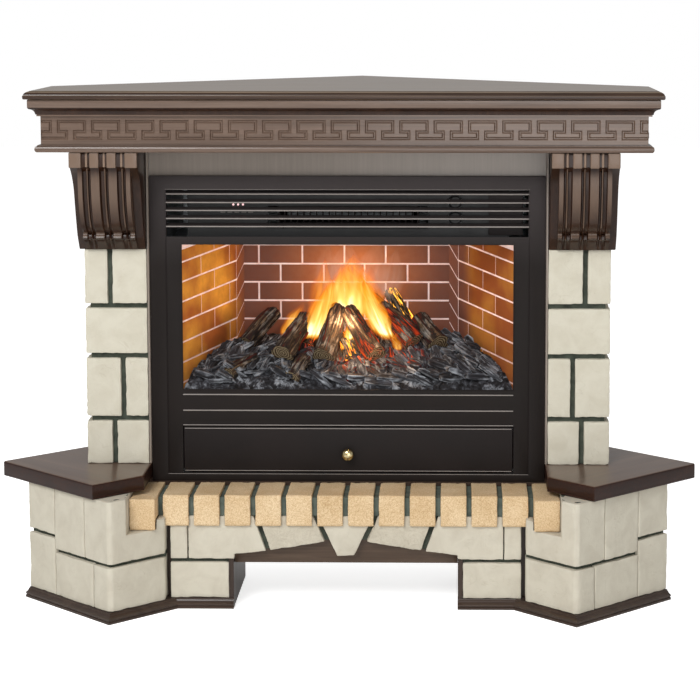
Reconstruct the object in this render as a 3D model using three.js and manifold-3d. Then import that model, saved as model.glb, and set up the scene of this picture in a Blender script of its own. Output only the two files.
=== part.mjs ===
// A corner fireplace: a portal of walnut-veneered board, cast stone and brick that stands in the
// right angle between two walls, round an electric insert with a log bed, a fan heater and a
// drawer that holds the water for its mist flames.
//
// Millimetres. +X is the viewer's right, +Z is up, and the front faces -Y. While the pieces are
// made, Y is zero on the front of the insert's trim frame and the walls meet at (0, WALLS_MEET).
// The whole group is then moved so that its origin is at the middle of its footprint.
import * as THREE from 'three';
import { mergeVertices } from 'three/addons/utils/BufferGeometryUtils.js';
import Module from 'manifold-3d';

const wasm = await Module();
wasm.setup();

// ---------------------------------------------------------------- driving dimensions
const GAP = 0.3;                   // clearance between pieces that touch
const WALLS_MEET = 660;            // from the face of the insert back to the room's corner
const TOTAL_HEIGHT = 950;
const TIP_TO_TIP = 1300;           // over the two side shelves

const BASE_HEIGHT = 18;            // base moulding
const SHELF_TOP = 248;
const SHELF_THICK = 28;
const CORBEL_FOOT = 653;
const CORBEL_TOP = 839;

const TRIM_HALF = 367.5;           // the insert's outer trim frame
const TRIM_BOTTOM = 214;
const TRIM_TOP = 788;
const WINDOW = { half: 308, bottom: 388, top: 660 };
const LOUVRE = { half: 337, bottom: 675, top: 762 };
const DRAWER = { half: 308, bottom: 231, top: 317, travel: 170 };

const COLUMN = { inner: 372.7, outer: 488, front: -8, stone: 20, board: 16 };
const FRIEZE = { half: 546, front: -105, bottom: 852.3, top: 904, thick: 16 };
const MANTEL = { half: 573, front: -132, thick: 15 };

const KEY = { pitch: 61.6, groove: 6, depth: 4, high: 894.5, middle: 876.3, low: 864.5, phase: 40.5 };

// The plinths are square blocks turned to the walls: their outer faces lie on x - y = OUTER_FACET,
// their inner ones on x + y = INNER_FACET, and they stop on x + y = SKIRTING, clear of the walls.
const OUTER_FACET = 627;
const INNER_FACET = 209;
const SKIRTING = 565;
const PLINTH = { inner: 206, back: 115, jointAt: 330, front: -104, stone: 18 };

const PLINTH_CHEEK = 8.7;          // the dark board end that shows beside the arch
const BASE_REACH = 11;             // how far the base moulding stands out

// The hearth's bricks lie on the arch, and their fronts hang down before it as a lip.
const BRICKS = { count: 14, pitch: 56.5, width: 47, front: -112, back: -2, bottom: 154, seat: 172, top: 212 };
const ARCH = { jointLow: 85, jointHigh: 91, springHalf: 205, springZ: 99.4, crownZ: 123.5, keystoneZ: 97.6 };
const APRON_BOTTOM = 62;
const HEARTH_BOTTOM = 195;

const PANEL = { front: 12.3, thick: 15.7, openingHalf: 348, openingTop: 772 };
const SUNK = 9;                    // depth of the joints between stones
const STONE_JOINT = 9;
// Heights of the joints on a column, and where each row is split, from the bottom row upwards.
const COLUMN_JOINTS = [334, 452.7, 546.6];
const COLUMN_SPLITS = [436, 419, null, 441];
const CORBEL = {
  left: COLUMN.inner + 0.6, width: 123, back: PANEL.front - GAP, blockBottom: 811, reach: -110,
};

const SHEET = 2;                   // sheet steel of the insert
const CASE = { half: 341, bottom: TRIM_BOTTOM + 3.3, top: 770, front: 4.6, back: 282 };
const CHAMBER = { floor: 344, roof: 664, backHalf: 222, back: 258, front: 6 };
const EMBER = { front: 8, back: 250, frontTop: 391, rise: 62, run: 75, base: CHAMBER.floor + SHEET + GAP };
const MIST_SLOT = { half: 170, front: 112, back: 128 };
const FAN = { y: 130, z: 722, radius: 26, half: 120, blades: 16, housingHalf: 130 };
const DIAL = { x: 200, zs: [738, 708], radius: 11 };
const TRAY = { half: 294, bottom: 238, top: 306, front: 12.3, back: 246 };
const KNOB_Z = 267;
const GLAND = { x: 280, z: 250, radius: 8 };

// Logs, each from the middle of its cut lower end to its tip.
const LOGS = [
  { name: 'log_centre', from: [-50, 62, 441], to: [-25, 150, 525], radius: 24, seed: 3.2 },
  { name: 'log_right', from: [52, 64, 446], to: [-7, 140, 520], radius: 23, seed: 4.1 },
  { name: 'log_left', from: [-127, 66, 444], to: [-87, 150, 509], radius: 23, seed: 2.1 },
  { name: 'log_far_right', from: [119, 118, 458], to: [26, 195, 541], radius: 23, seed: 0.9 },
  { name: 'log_back_right', from: [168, 130, 453], to: [128, 190, 500], radius: 24, seed: 2.7 },
  { name: 'log_back_tall', from: [120, 178, 458], to: [71, 222, 549], radius: 19, seed: 1.9 },
  { name: 'log_far_left', from: [-202, 150, 452], to: [-149, 195, 512], radius: 20, seed: 0.4 },
  { name: 'log_lying_left', from: [-225, 32, 411], to: [-180, 78, 440], radius: 16, seed: 1.3 },
];
// Charred stumps that are moulded in one with the ember bed.
const STUMPS = [
  { from: [-106, 24, 408], to: [-80, 64, 440], radius: 16, seed: 5.4 },
  { from: [-84, 132, 450], to: [-54, 185, 506], radius: 18, seed: 0.2 },
  { from: [7, 95, 431], to: [-15, 142, 474], radius: 19, seed: 1.1 },
];

// ---------------------------------------------------------------- finishes
const finish = (name, color, roughness, metalness = 0) =>
  () => new THREE.MeshStandardMaterial({ name, color, roughness, metalness });
const walnut = finish('walnut', 0x4b352c, 0.4);
const darkWalnut = finish('dark_walnut', 0x38251d, 0.4);
const castStone = finish('cast_stone', 0xd8d0be, 0.9);
const sandBrick = finish('sand_brick', 0xdcbd91, 0.9);
const blackSteel = finish('black_steel', 0x2b2625, 0.5, 0.6);
const galvanised = finish('galvanised', 0x9a9c9c, 0.45, 0.9);
const fireBrick = finish('fire_brick', 0xb4602a, 0.85);
const bark = finish('bark', 0x4f4237, 0.9);
const ash = finish('ash', 0x54565a, 0.95);
const brass = finish('brass', 0xbfae7e, 0.25, 1);
const blackPlastic = finish('black_plastic', 0x1d1d1e, 0.5);
const smokyPlastic = finish('smoky_plastic', 0x8f9ba0, 0.2);
const rotorMetal = finish('rotor_metal', 0x7e8284, 0.4, 0.9);

const portal = new THREE.Group();
portal.name = 'portal';
const insert = new THREE.Group();
insert.name = 'insert';
const drawer = new THREE.Group();
drawer.name = 'drawer';

/** Adds one piece to a group, as a mesh with its own material. */
function add(group, name, geometry, material) {
  geometry.computeVertexNormals();
  const mesh = new THREE.Mesh(geometry, material());
  mesh.name = name;
  group.add(mesh);
  return mesh;
}

/** Adds a right-hand piece and its mirror image on the left. */
function addPair(group, name, geometry, material) {
  add(group, `${name}_right`, geometry, material);
  add(group, `${name}_left`, mirrored(geometry), material);
}

// ---------------------------------------------------------------- shaping
/** The closed solid of a geometry, ready to be joined or cut. */
function solidOf(geometry) {
  const bare = geometry.clone();
  bare.deleteAttribute('normal');
  bare.deleteAttribute('uv');
  const merged = mergeVertices(bare, 1e-4);
  return new wasm.Manifold(new wasm.Mesh({
    numProp: 3,
    vertProperties: new Float32Array(merged.attributes.position.array),
    triVerts: new Uint32Array(merged.index.array),
  }));
}

/** The geometry of a solid. */
function geometryOf(solid) {
  const mesh = solid.getMesh();
  const geometry = new THREE.BufferGeometry();
  geometry.setAttribute('position', new THREE.BufferAttribute(mesh.vertProperties, 3));
  geometry.setIndex(new THREE.BufferAttribute(mesh.triVerts, 1));
  return geometry;
}

const join = (...pieces) => geometryOf(pieces.map(solidOf).reduce((sum, piece) => sum.add(piece)));
const cut = (body, ...tools) =>
  geometryOf(tools.map(solidOf).reduce((rest, tool) => rest.subtract(tool), solidOf(body)));

/** The mirror image of a geometry in the plane x = 0, with its faces still pointing out. */
function mirrored(geometry) {
  const copy = geometry.index ? geometry.toNonIndexed() : geometry.clone();
  const place = copy.attributes.position;
  for (let first = 0; first < place.count; first += 3) {
    const [a, b, c] = [0, 2, 1].map((step) =>
      new THREE.Vector3().fromBufferAttribute(place, first + step));
    [a, b, c].forEach((corner, step) => place.setXYZ(first + step, -corner.x, corner.y, corner.z));
  }
  return copy;
}

const shapeOf = (outline) => (outline instanceof THREE.Shape
  ? outline
  : new THREE.Shape(outline.map(([u, v]) => new THREE.Vector2(u, v))));
const rectangle = (u0, u1, v0, v1) => [[u0, v0], [u1, v0], [u1, v1], [u0, v1]];

/** A rectangular block between two corners. */
function block(x0, x1, y0, y1, z0, z1) {
  const geometry = new THREE.BoxGeometry(x1 - x0, y1 - y0, z1 - z0);
  return geometry.translate((x0 + x1) / 2, (y0 + y1) / 2, (z0 + z1) / 2);
}

/** A board with a plan outline [x, y], between two heights. */
function plan(outline, bottom, top) {
  const geometry = new THREE.ExtrudeGeometry(shapeOf(outline), {
    depth: top - bottom, bevelEnabled: false, curveSegments: 6,
  });
  return geometry.translate(0, 0, bottom);
}

/** A board like plan's, with every edge rounded by `round` in plan and `drop` in height. */
function roundedPlan(outline, bottom, top, round, drop) {
  const geometry = new THREE.ExtrudeGeometry(shapeOf(outline), {
    depth: top - bottom - 2 * drop, bevelEnabled: true, bevelSegments: 3,
    bevelSize: round, bevelThickness: drop, bevelOffset: -round,
  });
  return geometry.translate(0, 0, bottom + drop);
}

/** A side profile [y, z], carried across from x0 to x1. */
function across(profile, x0, x1, curveSegments = 6) {
  const geometry = new THREE.ExtrudeGeometry(shapeOf(profile), {
    depth: x1 - x0, bevelEnabled: false, curveSegments,
  });
  geometry.applyMatrix4(new THREE.Matrix4().makeBasis(
    new THREE.Vector3(0, 1, 0), new THREE.Vector3(0, 0, 1), new THREE.Vector3(1, 0, 0)));
  return geometry.translate(x0, 0, 0);
}

/** A front outline [x, z], carried back from y0 to y1. */
function through(outline, y0, y1, curveSegments = 6) {
  const geometry = new THREE.ExtrudeGeometry(shapeOf(outline), {
    depth: y1 - y0, bevelEnabled: false, curveSegments,
  });
  geometry.applyMatrix4(new THREE.Matrix4().makeBasis(
    new THREE.Vector3(1, 0, 0), new THREE.Vector3(0, 0, 1), new THREE.Vector3(0, -1, 0)));
  return geometry.translate(0, y1, 0);
}

/** Turns a closed geometry's faces outwards if they all point in. */
function facingOut(geometry) {
  const place = geometry.attributes.position;
  const index = geometry.index.array;
  const corner = [new THREE.Vector3(), new THREE.Vector3(), new THREE.Vector3()];
  let volume = 0;
  for (let face = 0; face < index.length; face += 3) {
    corner.forEach((point, step) => point.fromBufferAttribute(place, index[face + step]));
    volume += corner[0].dot(corner[1].clone().cross(corner[2]));
  }
  if (volume < 0) {
    for (let face = 0; face < index.length; face += 3) {
      [index[face + 1], index[face + 2]] = [index[face + 2], index[face + 1]];
    }
  }
  return geometry;
}

/** The closed skin over a row of rings with equal counts of [x, y, z], ended by two caps. */
function loft(rings, cap) {
  const count = rings[0].length;
  const index = [];
  for (let ring = 0; ring + 1 < rings.length; ring += 1) {
    for (let here = 0; here < count; here += 1) {
      const a = ring * count + here;
      const b = ring * count + ((here + 1) % count);
      index.push(a, b, b + count, a, b + count, a + count);
    }
  }
  const last = (rings.length - 1) * count;
  cap.forEach(([a, b, c]) => index.push(a, c, b, last + a, last + b, last + c));
  const geometry = new THREE.BufferGeometry();
  geometry.setAttribute('position', new THREE.Float32BufferAttribute(rings.flat(2), 3));
  geometry.setIndex(index);
  return facingOut(geometry);
}

/** The triangles that close a ring with the outline [u, v], turned the way that the ring runs. */
function capOf(outline) {
  const contour = outline.map(([u, v]) => new THREE.Vector2(u, v));
  const faces = THREE.ShapeUtils.triangulateShape(contour, []);
  return THREE.ShapeUtils.isClockWise(contour) ? faces.map(([a, b, c]) => [a, c, b]) : faces;
}

/** The direction in which a path's corner is offset, for one unit to the right of its run. */
function mitre(path, at) {
  const rights = [];
  for (const [from, to] of [[at - 1, at], [at, at + 1]]) {
    if (from >= 0 && to < path.length) {
      const run = new THREE.Vector2(path[to][0] - path[from][0], path[to][1] - path[from][1]);
      rights.push(new THREE.Vector2(run.y, -run.x).normalize());
    }
  }
  if (rights.length === 1) {
    return rights[0];
  }
  return rights[0].clone().add(rights[1]).divideScalar(1 + rights[0].dot(rights[1]));
}

/** A moulding with mitred corners: profile points are [out, z], out to the right of the path. */
function moulding(path, profile) {
  const rings = path.map(([x, y], at) => {
    const out = mitre(path, at);
    return profile.map(([reach, z]) => [x + reach * out.x, y + reach * out.y, z]);
  });
  return loft(rings, capOf(profile));
}

/** Points on a quarter round from one [u, v] to another, bulging towards `corner`. */
function quarter(from, to, corner, steps = 4) {
  const curve = new THREE.QuadraticBezierCurve(
    new THREE.Vector2(...from), new THREE.Vector2(...corner), new THREE.Vector2(...to));
  return curve.getPoints(steps).map((point) => [point.x, point.y]);
}

/** Everything beyond the two walls. */
const beyondWalls = (bottom, top, clear = 0) => {
  const far = 1400;
  const meet = WALLS_MEET - clear;
  return plan([[-far, meet - far], [0, meet], [far, meet - far], [far, far], [-far, far]], bottom, top);
};
const toWall = (x, clear = GAP) => WALLS_MEET - clear - Math.abs(x);

// ---------------------------------------------------------------- mantel
/** The run of the frieze in plan: up the left return, along the front, down the right one. */
function friezeRun(clear) {
  const { half, front } = FRIEZE;
  const end = toWall(half, clear);
  return [[-half, end], [-half, front], [half, front], [half, end]];
}

/** The centre line of the meander [s, z] from one end of a board to the other. */
function meanderLine(from, to, start) {
  const line = [];
  const { pitch, high, middle, low } = KEY;
  for (let s = start; s < to + pitch; s += pitch) {
    if (s > from - 2 * pitch) {
      const [back, out, over] = [s + 0.471 * pitch, s + 0.763 * pitch, s + 1.234 * pitch];
      line.push([s, high], [out, high], [out, middle], [back, middle]);
      line.push([back, low], [over, low], [over, middle], [s + pitch, middle]);
    }
  }
  return line;
}

/** A closed outline of even width round a line. */
function ribbon(line, width) {
  const side = (sign) => line.map(([s, z], at) => {
    const out = mitre(line, at);
    return [s + (sign * width * out.x) / 2, z + (sign * width * out.y) / 2];
  });
  return [...side(1), ...side(-1).reverse()];
}

function makeFrieze() {
  const { half, front, bottom, top, thick } = FRIEZE;
  const groove = ribbon(meanderLine(-half, half, KEY.phase - 10 * KEY.pitch), KEY.groove);
  const board = block(-half, half, front, front + thick, bottom, top);
  add(portal, 'frieze_front', cut(board, through(groove, front - 1, front + KEY.depth)), walnut);

  const from = front + thick + GAP;
  const side = plan([[half - thick, from], [half, from], [half, toWall(half)],
    [half - thick, toWall(half - thick)]], bottom, top);
  const sideLine = meanderLine(from, toWall(half), from - 2.6 * KEY.pitch);
  const sideGroove = across(ribbon(sideLine, KEY.groove), half - KEY.depth, half + 1);
  addPair(portal, 'frieze_return', cut(side, sideGroove), walnut);
}

function makeMouldings() {
  const under = MANTEL.thick + GAP;
  const top = TOTAL_HEIGHT - under;
  const foot = FRIEZE.top + GAP;
  const crown = [
    [-16, foot], [7, foot], [7, foot + 2.5],
    ...quarter([9, foot + 3.5], [18, top - 13.5], [18.5, foot + 5]),
    [20, top - 12.5], [20, top - 1.5], [18.5, top], [-16, top],
  ];
  add(portal, 'crown_moulding', moulding(friezeRun(GAP), crown), walnut);

  const high = FRIEZE.bottom - GAP;
  const low = CORBEL_TOP + GAP;
  const lower = [
    [-22, low], [8, low], ...quarter([9.5, low + 1.5], [9.5, high - 3], [11, (low + high) / 2], 3),
    [6, high - 1.5], [6, high], [-22, high],
  ];
  add(portal, 'frieze_moulding', moulding(friezeRun(GAP), lower), walnut);
}

function makeMantelBoards() {
  const { half, front, thick } = MANTEL;
  const past = 120;
  const outline = [[-half, front], [half, front], [half, toWall(half) + past],
    [0, WALLS_MEET + past], [-half, toWall(half) + past]];
  const board = roundedPlan(outline, TOTAL_HEIGHT - thick, TOTAL_HEIGHT, 8, 5);
  add(portal, 'mantel_top', cut(board, beyondWalls(TOTAL_HEIGHT - thick - 1, TOTAL_HEIGHT + 1)), walnut);

  const reach = FRIEZE.half - 22 - GAP;
  const from = FRIEZE.front + 22 + GAP;
  const soffit = plan([[-reach, from], [reach, from], [reach, toWall(reach)], [0, WALLS_MEET - GAP],
    [-reach, toWall(reach)]], CORBEL_TOP + GAP, FRIEZE.bottom - GAP);
  add(portal, 'mantel_soffit', soffit, darkWalnut);
}

// ---------------------------------------------------------------- portal front and columns
function makePortalFront() {
  const outer = TRIM_HALF + 0.4;
  const outline = [[-outer, TRIM_BOTTOM], [-PANEL.openingHalf, TRIM_BOTTOM],
    [-PANEL.openingHalf, PANEL.openingTop], [PANEL.openingHalf, PANEL.openingTop],
    [PANEL.openingHalf, TRIM_BOTTOM], [outer, TRIM_BOTTOM], [outer, CORBEL_TOP], [-outer, CORBEL_TOP]];
  add(portal, 'portal_panel', through(outline, PANEL.front, PANEL.front + PANEL.thick), walnut);

  const strip = plan([[outer + GAP, PANEL.front + PANEL.thick], [outer + GAP, -2], [outer + 1.5, -4],
    [COLUMN.inner - 1, -4], [COLUMN.inner - GAP, -3], [COLUMN.inner - GAP, PANEL.front + PANEL.thick]],
  SHELF_TOP + GAP, CORBEL_TOP);
  addPair(portal, 'portal_trim', strip, walnut);
}

/** One column's board box, open at the back: a front, an outer and an inner side. */
function makeColumnBox() {
  const { inner, outer, stone, board } = COLUMN;
  const channel = (edge, bottom, top) => plan([
    [inner, PANEL.front], [edge, PANEL.front], [edge, toWall(edge)], [edge - board, toWall(edge - board)],
    [edge - board, PANEL.front + board], [inner + board, PANEL.front + board],
    [inner + board, toWall(inner + board)], [inner, toWall(inner)],
  ], bottom, top);
  const lower = channel(outer - stone - GAP, SHELF_TOP + GAP, CORBEL_TOP);
  const upper = channel(outer, CORBEL_FOOT + GAP, CORBEL_TOP);
  addPair(portal, 'column_box', join(lower, upper), darkWalnut);
}

/** The cast-stone facing of a column: its front and outer side, with sunk joints between stones. */
function makeColumnStone() {
  const { inner, outer, front, stone } = COLUMN;
  const bottom = SHELF_TOP + GAP;
  const sideEnd = 150;
  const back = PANEL.front - GAP;
  const body = plan([[inner, front], [outer - 4, front], [outer, front + 4], [outer, sideEnd],
    [outer - stone, sideEnd], [outer - stone, back], [inner, back]], bottom, CORBEL_FOOT);
  const half = STONE_JOINT / 2;
  const tools = [];
  COLUMN_JOINTS.forEach((z) => {
    tools.push(block(inner - 1, outer + 1, front - 1, front + SUNK, z - half, z + half));
    tools.push(block(outer - SUNK, outer + 1, front - 1, sideEnd + 1, z - half, z + half));
  });
  const levels = [bottom - 1, ...COLUMN_JOINTS, CORBEL_FOOT + 1];
  COLUMN_SPLITS.forEach((x, row) => {
    const [low, high] = [levels[row], levels[row + 1]];
    const sideSplit = row % 2 ? 60 : 95;
    if (x !== null) {
      tools.push(block(x - half, x + half, front - 1, front + SUNK, low, high));
    }
    tools.push(block(outer - SUNK, outer + 1, sideSplit - half, sideSplit + half, low, high));
  });
  addPair(portal, 'column_stone', cut(body, ...tools), castStone);
}

// ---------------------------------------------------------------- corbels
/** The side profile of a corbel's fluted body, pushed forward by `out`. */
function corbelBody(out) {
  const { back, blockBottom } = CORBEL;
  const y = (value) => value - out;
  const shape = new THREE.Shape();
  shape.moveTo(back, CORBEL_TOP - 2);
  shape.lineTo(back, CORBEL_FOOT);
  shape.lineTo(y(-9), CORBEL_FOOT);
  shape.quadraticCurveTo(y(-15), CORBEL_FOOT + 9, y(-19), CORBEL_FOOT + 18);
  shape.lineTo(y(-27), CORBEL_FOOT + 21);
  shape.bezierCurveTo(y(-40), CORBEL_FOOT + 22, y(-42), CORBEL_FOOT + 36, y(-30), CORBEL_FOOT + 38);
  shape.lineTo(y(-44), CORBEL_FOOT + 40);
  shape.bezierCurveTo(y(-66), CORBEL_FOOT + 52, y(-88), CORBEL_FOOT + 96, y(-89), CORBEL_FOOT + 128);
  shape.quadraticCurveTo(y(-90), blockBottom - 8, y(-97), blockBottom + 4);
  shape.lineTo(y(-97), CORBEL_TOP - 2);
  shape.closePath();
  return shape;
}

/** The plain cheek on each side of the fluted body. */
function corbelCheek() {
  const { back, blockBottom, reach } = CORBEL;
  const shape = new THREE.Shape();
  shape.moveTo(back, CORBEL_TOP - 2);
  shape.lineTo(back, CORBEL_FOOT);
  shape.lineTo(-10, CORBEL_FOOT);
  shape.quadraticCurveTo(-20, CORBEL_FOOT + 8, -36, CORBEL_FOOT + 26);
  shape.bezierCurveTo(-50, CORBEL_FOOT + 66, -50, CORBEL_FOOT + 110, reach + 6, blockBottom + 2);
  shape.lineTo(reach + 6, CORBEL_TOP - 2);
  shape.closePath();
  return shape;
}

/** A scroll corbel: cheeks, a narrower fluted body with reeds in its flutes, and a top of blocks. */
function makeCorbel() {
  const { left, width, back, blockBottom, reach } = CORBEL;
  const bodyFrom = left + 14;
  const bodyTo = left + width - 14;
  const pieces = [across(corbelCheek(), left, left + width, 5), across(corbelBody(0), bodyFrom, bodyTo, 5)];
  const bands = [[14, 22], [38, 54], [69, 85], [101, 109]];
  bands.forEach(([from, to]) => pieces.push(across(corbelBody(4), left + from, left + to, 5)));
  [30, 61.5, 93].forEach((middle) => {
    pieces.push(across(corbelBody(2), left + middle - 2.5, left + middle + 2.5, 5));
  });
  pieces.push(block(left, left + width, reach + 4, back, blockBottom, CORBEL_TOP));
  [[0, 22], [38, 54], [69, 85], [101, width]].forEach(([from, to]) => {
    pieces.push(block(left + from, left + to, reach, reach + 10, blockBottom, CORBEL_TOP));
  });
  addPair(portal, 'corbel', join(...pieces), darkWalnut);
}

// ---------------------------------------------------------------- shelves and plinths
/** The end of the row of bricks. */
const brickEnd = () => ((BRICKS.count - 1) * BRICKS.pitch + BRICKS.width) / 2;

/** The point where x - y and x + y have given values. */
const facet = (difference, sum) => [(sum + difference) / 2, (sum - difference) / 2];

function makeSideShelf() {
  const outerEdge = TIP_TO_TIP - WALLS_MEET;
  const innerEdge = 259;
  const inside = TRIM_HALF + 0.8;
  const past = 160;
  const outline = [[inside, innerEdge - inside], facet(outerEdge, innerEdge),
    facet(outerEdge, WALLS_MEET + past), [inside, WALLS_MEET + past - inside]];
  const bottom = SHELF_TOP - SHELF_THICK;
  const board = roundedPlan(outline, bottom, SHELF_TOP, 6, 7);
  addPair(portal, 'side_shelf', cut(board, beyondWalls(bottom - 1, SHELF_TOP + 1)), walnut);
}

/** A plinth's board box, open at the back, with the cheek that shows beside the arch. */
function makePlinthBox() {
  const { inner, back, stone } = PLINTH;
  const top = SHELF_TOP - SHELF_THICK - GAP;
  const face = OUTER_FACET - (stone + GAP) * Math.SQRT2;
  const faceY = PLINTH.front + stone + 1 + GAP;
  const board = 16;
  const skew = board * Math.SQRT2;
  const past = 20;
  const outer = [[inner, faceY], [face + faceY, faceY], facet(face, SKIRTING),
    [SKIRTING - back, back], [inner, back]];
  const hollow = [[inner + board, faceY + board], [face - skew + faceY + board, faceY + board],
    facet(face - skew, SKIRTING - skew), [SKIRTING - skew - back - past, back + past],
    [inner + board, back + past]];
  const body = cut(plan(outer, 0, top), plan(hollow, -1, top - board));
  const insertEdge = TRIM_HALF + 0.5;
  const besideInsert = block(inner - 1, insertEdge, faceY - 1, back + 1, TRIM_BOTTOM - GAP, top + 1);
  const underBricks = block(inner - 1, brickEnd() + GAP, faceY - 1, BRICKS.back + GAP,
    BRICKS.seat - GAP, top + 1);
  const hearthStep = block(inner - 1, insertEdge, BRICKS.back - 1, back + 1, HEARTH_BOTTOM - GAP, top + 1);
  const cheek = block(inner, inner + PLINTH_CHEEK, PLINTH.front, faceY + 2,
    BASE_HEIGHT + GAP, ARCH.jointHigh - GAP);
  addPair(portal, 'plinth_box', join(cut(body, besideInsert, underBricks, hearthStep), cheek), darkWalnut);
}


/** The stone facing of a plinth: two outer stones a row, a long corner stone, and sunk joints. */
function makePlinthStone() {
  const { front, stone, jointAt } = PLINTH;
  const bottom = BASE_HEIGHT + GAP;
  const top = SHELF_TOP - SHELF_THICK - GAP;
  const behind = front + stone + 1;
  const face = OUTER_FACET - stone * Math.SQRT2;
  const nose = 9;
  const outline = [[jointAt, behind], [jointAt, INNER_FACET - jointAt],
    facet(OUTER_FACET - nose, INNER_FACET), facet(OUTER_FACET, INNER_FACET + nose),
    facet(OUTER_FACET, SKIRTING), facet(face, SKIRTING), [face + behind, behind]];
  const body = plan(outline, bottom, top);
  const notch = { from: jointAt - 1, to: brickEnd() + 1 };
  const tools = [
    block(notch.from, notch.to, -400, front + GAP, BRICKS.bottom - GAP, top + 1),
    block(notch.from, notch.to, -400, 0, BRICKS.seat - GAP, top + 1),
  ];

  // One horizontal joint round the corner, and a higher one between the end stones.
  const strip = (difference0, difference1, sum0, sum1, low, high) => plan([
    facet(difference0, sum0), facet(difference1, sum0), facet(difference1, sum1), facet(difference0, sum1),
  ], low, high);
  const endSplit = 448.5;
  const outside = OUTER_FACET + 20;
  const depth = SUNK * Math.SQRT2;
  const [rowLow, rowHigh] = [98, 105];
  const raised = 26;
  tools.push(strip(OUTER_FACET - depth, outside, INNER_FACET - 20, endSplit, rowLow, rowHigh));
  tools.push(strip(0, outside, INNER_FACET - 20, INNER_FACET + depth, rowLow, rowHigh));
  tools.push(strip(OUTER_FACET - depth, outside, endSplit + 6, SKIRTING + 10,
    rowLow + raised, rowHigh + raised));

  // Narrow upright joints: one over the full height, and one in each row.
  const narrow = OUTER_FACET - 6;
  tools.push(strip(narrow, outside, endSplit - 1, endSplit + 1, bottom - 1, top + 1));
  tools.push(strip(narrow, outside, 315, 318, rowHigh, top + 1));
  tools.push(strip(narrow, outside, 278, 281, bottom - 1, rowLow));
  addPair(portal, 'plinth_stone', cut(body, ...tools), castStone);
}

function makeBaseMoulding() {
  const out = BASE_REACH;
  const path = [[PLINTH.inner - 0.4, PLINTH.front], [INNER_FACET - PLINTH.front, PLINTH.front],
    facet(OUTER_FACET, INNER_FACET), facet(OUTER_FACET, SKIRTING)];
  const behind = -PLINTH.stone;
  const profile = [[behind, 0], [out, 0], [out, 5], ...quarter([out - 1, 6], [3, 14], [3.5, 7], 3),
    [1, 16], [1, BASE_HEIGHT], [behind, BASE_HEIGHT]];
  addPair(portal, 'base_moulding', moulding(path, profile), darkWalnut);
}

// ---------------------------------------------------------------- arch and hearth
/** The flat arch under the bricks, with its keystone, and the two foot stones below its ends. */
function makeArchFacing() {
  const { front, stone, inner, jointAt } = PLINTH;
  const { jointLow, jointHigh, springHalf, springZ, crownZ, keystoneZ } = ARCH;
  const foot = inner + PLINTH_CHEEK + GAP;
  const end = jointAt - 8;
  const top = BRICKS.seat - GAP;
  const rightHalf = through([[foot, BASE_HEIGHT + GAP], [end, BASE_HEIGHT + GAP], [end, top], [0, top],
    [0, keystoneZ], [15.5, keystoneZ], [26, crownZ], [38, crownZ], [144.6, 106.8],
    [springHalf, springZ], [springHalf, jointHigh], [foot, jointHigh]], front, front + stone);

  // A joint that leans out from its lower end [x, z] up to the top, by `lean` for each unit up.
  const leaning = (x, z, lean, width) => {
    const over = x + lean * (top + 1 - z);
    return [[x, z], [x + width, z], [over + width, top + 1], [over, top + 1]];
  };
  const joints = [
    rectangle(foot - 1, end + 1, jointLow, jointHigh),
    leaning(16, keystoneZ - 1, 0.45, 10),
    leaning(135.4, springZ, 0.34, 9),
    leaning(289.5, jointHigh, 0, 1.5),
  ].map((outline) => through(outline, front - 1, front + SUNK));
  add(portal, 'arch_facing',
    cut(join(rightHalf, mirrored(rightHalf)), ...joints, ...joints.map(mirrored)), castStone);
}

function makeApron() {
  const front = PLINTH.front + PLINTH.stone + GAP;
  const half = PLINTH.inner - GAP;
  const thick = 18;
  add(portal, 'apron_board',
    block(-half, half, front, front + thick, APRON_BOTTOM, BRICKS.seat - GAP), darkWalnut);
}

/** The row of bricks, cast in one with the sunk mortar that joins them. */
function makeHearthBricks() {
  const { count, pitch, width, front, back, bottom, seat, top } = BRICKS;
  const behindLip = PLINTH.front - GAP;
  const profile = [[back, seat], [behindLip, seat], [behindLip, bottom],
    ...quarter([front + 4, bottom], [front, bottom + 5], [front, bottom], 2),
    ...quarter([front, top - 3], [front + 3, top], [front, top], 2), [back, top]];
  const mortar = block(-brickEnd() + 2, brickEnd() - 2, front + 10, back - 0.5, seat, top - 6);
  const bricks = [];
  for (let at = 0; at < count; at += 1) {
    const middle = (at - (count - 1) / 2) * pitch;
    bricks.push(across(profile, middle - width / 2, middle + width / 2));
  }
  add(portal, 'hearth_bricks', join(mortar, ...bricks), sandBrick);
}

function makeHearthBoard() {
  const half = TRIM_HALF + 0.4;
  add(portal, 'hearth_board',
    block(-half, half, BRICKS.back + 2 * GAP, 285, HEARTH_BOTTOM, TRIM_BOTTOM - GAP), darkWalnut);
}

// ---------------------------------------------------------------- insert: frame, case, chamber
function withHoles(outline, holes) {
  const shape = shapeOf(outline);
  holes.forEach((hole) => shape.holes.push(new THREE.Path(hole.map(([u, v]) => new THREE.Vector2(u, v)))));
  return shape;
}

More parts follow.
